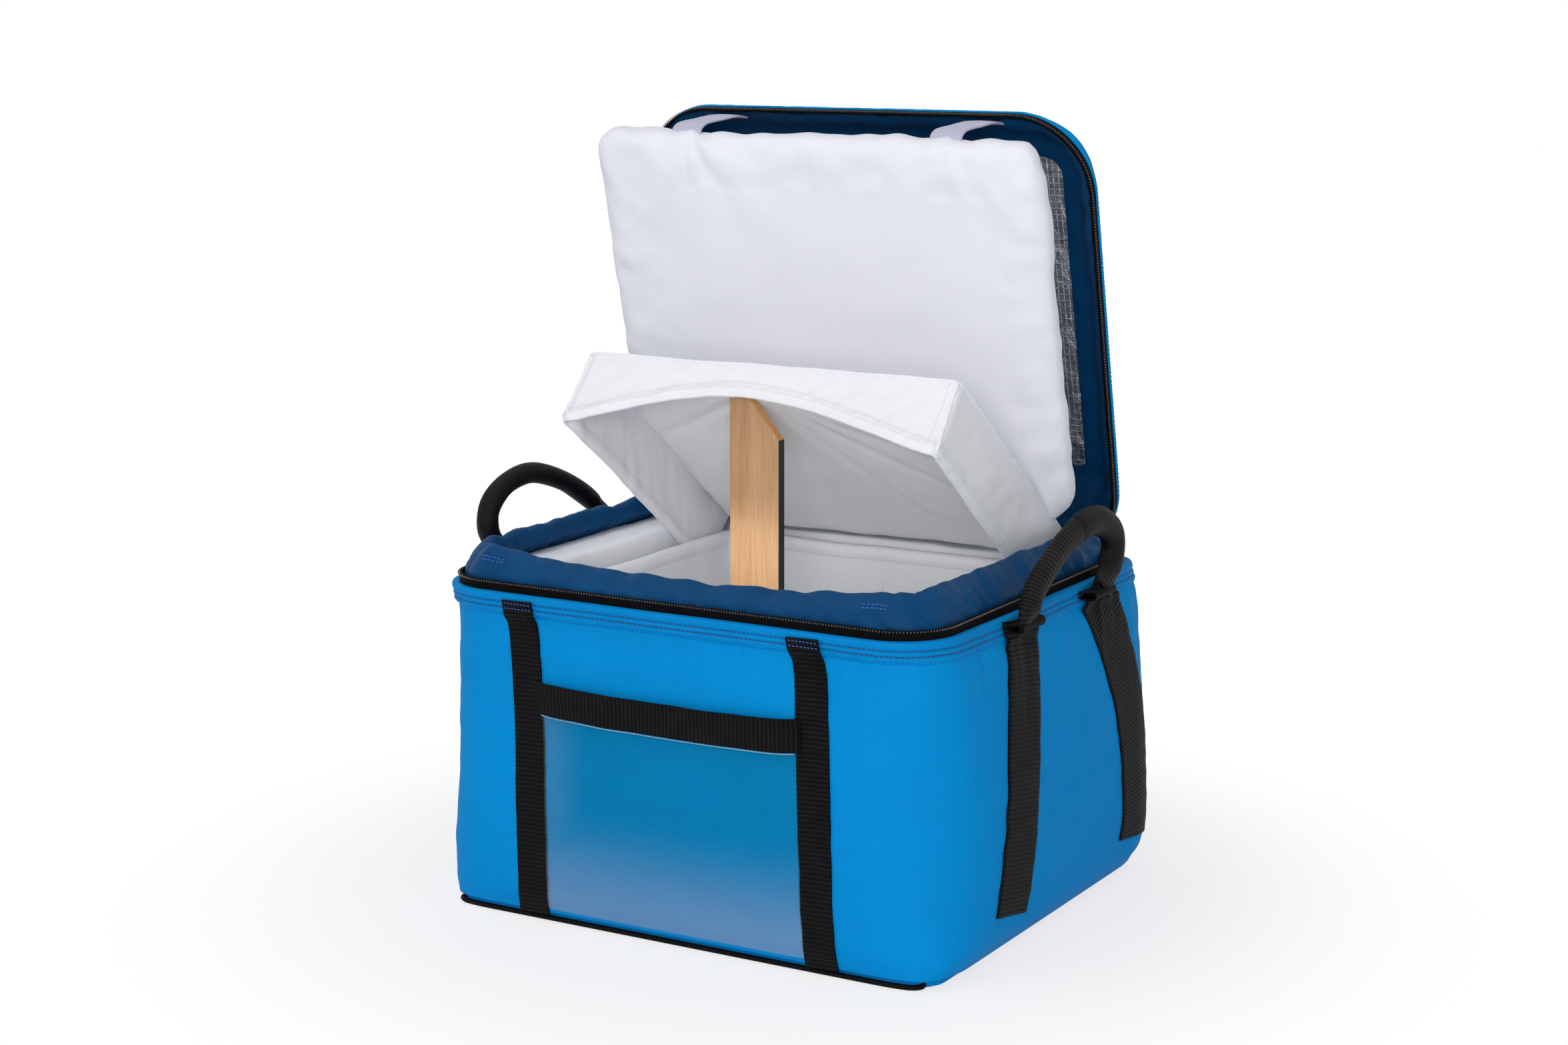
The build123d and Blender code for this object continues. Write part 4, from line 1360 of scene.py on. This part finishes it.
def gripPart(name, side, start, end, extra, mat, caps):
    hand = -1 if side == "left" else 1
    half = grips["half"][side]
    steps = 150

    def centre(t):
        y, z = alongPath(grips[side], t)
        lean = 3.0 * math.sin(math.pi * t) * (1 if side == "left" else 0.4)
        return Vector((hand * (handles["x"] + lean), y, z))

    def place(u, v):
        t = start + (end - start) * v
        spot = centre(t)
        ahead = (centre(min(t + 0.01, 1)) - centre(max(t - 0.01, 0))).normalized()
        side = Vector((hand, 0, 0))
        side = (side - ahead * side.dot(ahead)).normalized()
        inward = ahead.cross(side)
        end1 = min(t, 1 - t)
        roll = smooth(end1 / 0.13)
        wide = 21.0 + (half - 21.0) * roll
        deep = 2.4 + (8.6 - 2.4) * roll
        turn = 2 * math.pi * u
        lump = 0.7 * softNoise(math.cos(turn) * 1.2, math.sin(turn) * 1.2, t * 12 + hand)
        seamDip = -1.2 * math.exp(-(((u + 0.1) % 1 - 0.5) / 0.03) ** 2)
        grown = extra + lump + seamDip * (extra == 0)
        if caps and v in (0, 1):
            wide, deep, grown = wide * 0.6, deep * 0.3, 0
        edge = extra * (1 - math.exp(-min(v, 1 - v) * 60)) if extra else 0
        grown = grown - extra + edge if extra else grown
        return spot + side * math.cos(turn) * (deep + grown) + inward * math.sin(turn) * (wide + grown)

    return makeSkin(name, 28, steps, place, mat, size=(0.06, 0.26 * (end - start)))


wrapCloth = wovenFinish("softWrapBlack", "#040405", "#0C0C0D", 0.65, 0.15, 0.0012, 0.02, 0.012, 0.0008)
for side in ("left", "right"):
    name = "grip" + side.capitalize()
    give(
        gripPart(name, side, 0.0, 1.0, 0.0, gripWebbing, True), "handle_" + side, "webbing", "grip_" + side
    )
    start, end = grips["wrap"][side]
    give(gripPart(name + "Wrap", side, start, end, 1.3, wrapCloth, False), "handle_" + side, "webbing")

# loops that carry the hanging pad: their top is tacked inside the lid
loops = {
    "width": 30.0,
    "path": [
        (-391.0, -65.0), (-395.0, -60.0), (-396.5, -50.0), (-395.0, -38.0), (-392.5, -24.0),
        (-390.5, -10.0), (-388.5, 2.0), (-384.5, 10.5)
    ]
}
for side, x in (("left", -128.0), ("right", 128.0)):

    def loopPlace(u, v, x=x):
        ly, lz = alongPath(loops["path"], v)
        cup = 1.6 * math.sin(math.pi * u) * math.sin(math.pi * v)
        skew = -4.0 * math.sin(math.pi * v)
        return lidSpot(x - 4 * (1 - v) + skew + (u - 0.5) * loops["width"], ly - cup, lz)

    strap = makeSkin("loop" + side.capitalize(), 16, 70, loopPlace, loopWebbing, None, (0.03, 0.08), 1.4)
    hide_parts("loop_" + side)
    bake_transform(strap)
loopSpots = []
for x in (-128, 128):
    for lz in (4.0, 7.0):
        line = [lidSpot(x - 13 + 26 * k / 8, -388.4 + (lz - 2) * 0.45, lz) for k in range(9)]
        loopSpots += runStitches(line, lidTurn(Vector((0, 1, -0.3))), 3.2)
give(sewStitches("loopTacks", loopSpots, threadNavy, (2.6, 0.9, 0.8)), "outer_lid", "navy_lining")

# bar tacks on the collar's front corners
barSpots = []
for middle in (-196.0, 172.0):
    for row in (0, 1):
        for k in range(6):
            spot = collarPlace(frontT(middle + k * 4.2), 0.27 + row * 0.03)
            barSpots.append((spot + Vector((0, -0.4, 0.4)), Vector((1, 0, 0)), Vector((0, -0.7, 0.7))))
give(sewStitches("collarTacks", barSpots, threadBlue, (3.0, 1.0, 0.9)), "bag", "navy_lining")

# hinge: a cloth gusset that joins the two hems along the rear
gusset = {
    "half": 182.0,
    "path": [(204.5, 281.0), (208.4, 283.0), (211.0, 286.5), (212.2, 290.0), (211.6, 293.5), (209.6, 295.5)]
}


def gussetPlace(u, v):
    y, z = alongPath(gusset["path"], v)
    x = gusset["half"] * (2 * u - 1)
    return (x, y + 0.9 * softNoise(x / 17, v * 2, 5.0), z + 0.5 * softNoise(x / 9, v, 2.0))


gussetPiece = makeSkin("hingeGusset", 160, 16, gussetPlace, navyNylon, (0, 150, 288), (0.364, 0.02), 1.2)
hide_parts("hinge_roll")
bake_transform(gussetPiece)

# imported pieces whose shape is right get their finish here
kept = {
    "base_panel": baseCloth, "foil_liner": foil, "slider_left": blackZinc, "slider_right": blackZinc,
    "pull_left": blackZinc, "pull_right": blackZinc
}
for node, mat in kept.items():
    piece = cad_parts[node]
    piece.data.materials.clear()
    piece.data.materials.append(mat)

print("studio")
studio = {
    "pitch": 10.74, "azimuth": 30.19, "place": (1.186, -2.0557, 0.7757), "focal": 4172.97,
    "imageWidth": 2352
}
camera = bpy.data.cameras.new("productCamera")
camera.sensor_fit = "HORIZONTAL"
camera.sensor_width = 36.0
camera.lens = studio["focal"] / studio["imageWidth"] * 36.0
camera.clip_end = 20.0
cameraPiece = bpy.data.objects.new("productCamera", camera)
cameraPiece.location = studio["place"]
cameraPiece.rotation_euler = (math.radians(90 - studio["pitch"]), 0, math.radians(studio["azimuth"]))
bpy.context.scene.collection.objects.link(cameraPiece)
bpy.context.scene.camera = cameraPiece

lamps = {
    "keyRight": {"at": (1.25, -2.45, 0.9), "aim": (0, 0, 0.3), "size": 0.9, "power": 24.0},
    "frontSoft": {"at": (0.2, -2.7, 0.8), "aim": (0, 0, 0.3), "size": 1.6, "power": 5.0},
    "topSoft": {"at": (-0.5, -0.9, 2.3), "aim": (0, 0, 0.3), "size": 1.0, "power": 10.0},
    "boxCard": {"at": (-0.03, -0.1, 0.262), "aim": (0.01, 0.14, 0.2), "size": 0.16, "power": 0.07},
}
for name, lamp in lamps.items():
    light = bpy.data.lights.new(name, "AREA")
    light.shape = "SQUARE"
    light.size = lamp["size"]
    light.energy = lamp["power"]
    lightPiece = bpy.data.objects.new(name, light)
    lightPiece.location = lamp["at"]
    aim = Vector(lamp["aim"]) - Vector(lamp["at"])
    lightPiece.rotation_euler = aim.to_track_quat("-Z", "Y").to_euler()
    lightPiece.visible_camera = False
    bpy.context.scene.collection.objects.link(lightPiece)


def seenDirectly(mat):
    # 1 for rays that show the background itself: camera, glossy and transmission
    path = addNode(mat, "LightPath").outputs
    first = addNode(
        mat, "Math", {"operation": "MAXIMUM"}, {0: path["Is Camera Ray"], 1: path["Is Glossy Ray"]}
    )
    links = {0: first.outputs[0], 1: path["Is Transmission Ray"]}
    return addNode(mat, "Math", {"operation": "MAXIMUM"}, links).outputs[0]


world = bpy.data.worlds.new("whiteStudio")
bpy.context.scene.world = world
world.use_nodes = True
ambient = world.node_tree.nodes["Background"]
ambient.inputs["Color"].default_value = colour("#F4F6FA")
ambient.inputs["Strength"].default_value = 0.54
shown = addNode(world, "Background", {"Color": (1, 1, 1, 1), "Strength": 1.0})
mixed = addNode(
    world, "MixShader", {}, {0: seenDirectly(world), 1: ambient.outputs[0], 2: shown.outputs[0]}
)
world.node_tree.links.new(mixed.outputs[0], world.node_tree.nodes["World Output"].inputs["Surface"])

# matt white floor: seen directly it is mostly plain white, so only the contact shadow shows
floorMat, floorShader = newFinish("studioFloor", {"Base Color": colour("#F2F3F5"), "Roughness": 0.9})
spot = addNode(floorMat, "TexCoord").outputs["Object"]
away = addNode(floorMat, "VectorMath", {"operation": "LENGTH"}, {0: spot})
ramp = {
    "From Min": 0.3, "From Max": 0.62, "To Min": 0.72, "To Max": 1.0, "interpolation_type": "SMOOTHSTEP"
}
fade = addNode(floorMat, "MapRange", ramp, {"Value": away.outputs["Value"]})
share = addNode(
    floorMat, "Math", {"operation": "MULTIPLY"}, {0: seenDirectly(floorMat), 1: fade.outputs[0]}
)
glow = addNode(floorMat, "Emission")
parts = {0: share.outputs[0], 1: floorShader.outputs[0], 2: glow.outputs[0]}
floorMix = addNode(floorMat, "MixShader", {}, parts)
surface = floorMat.node_tree.nodes["Material Output"].inputs["Surface"]
floorMat.node_tree.links.new(floorMix.outputs[0], surface)
bm = bmesh.new()
bmesh.ops.create_grid(bm, x_segments=2, y_segments=2, size=8.0)
bmesh.ops.translate(bm, vec=(0, 0, -0.0005), verts=bm.verts)
finishPiece("studioFloor", bm, floorMat, (0, 0, -10000), smooth=False)

bpy.context.scene.view_settings.view_transform = "Standard"
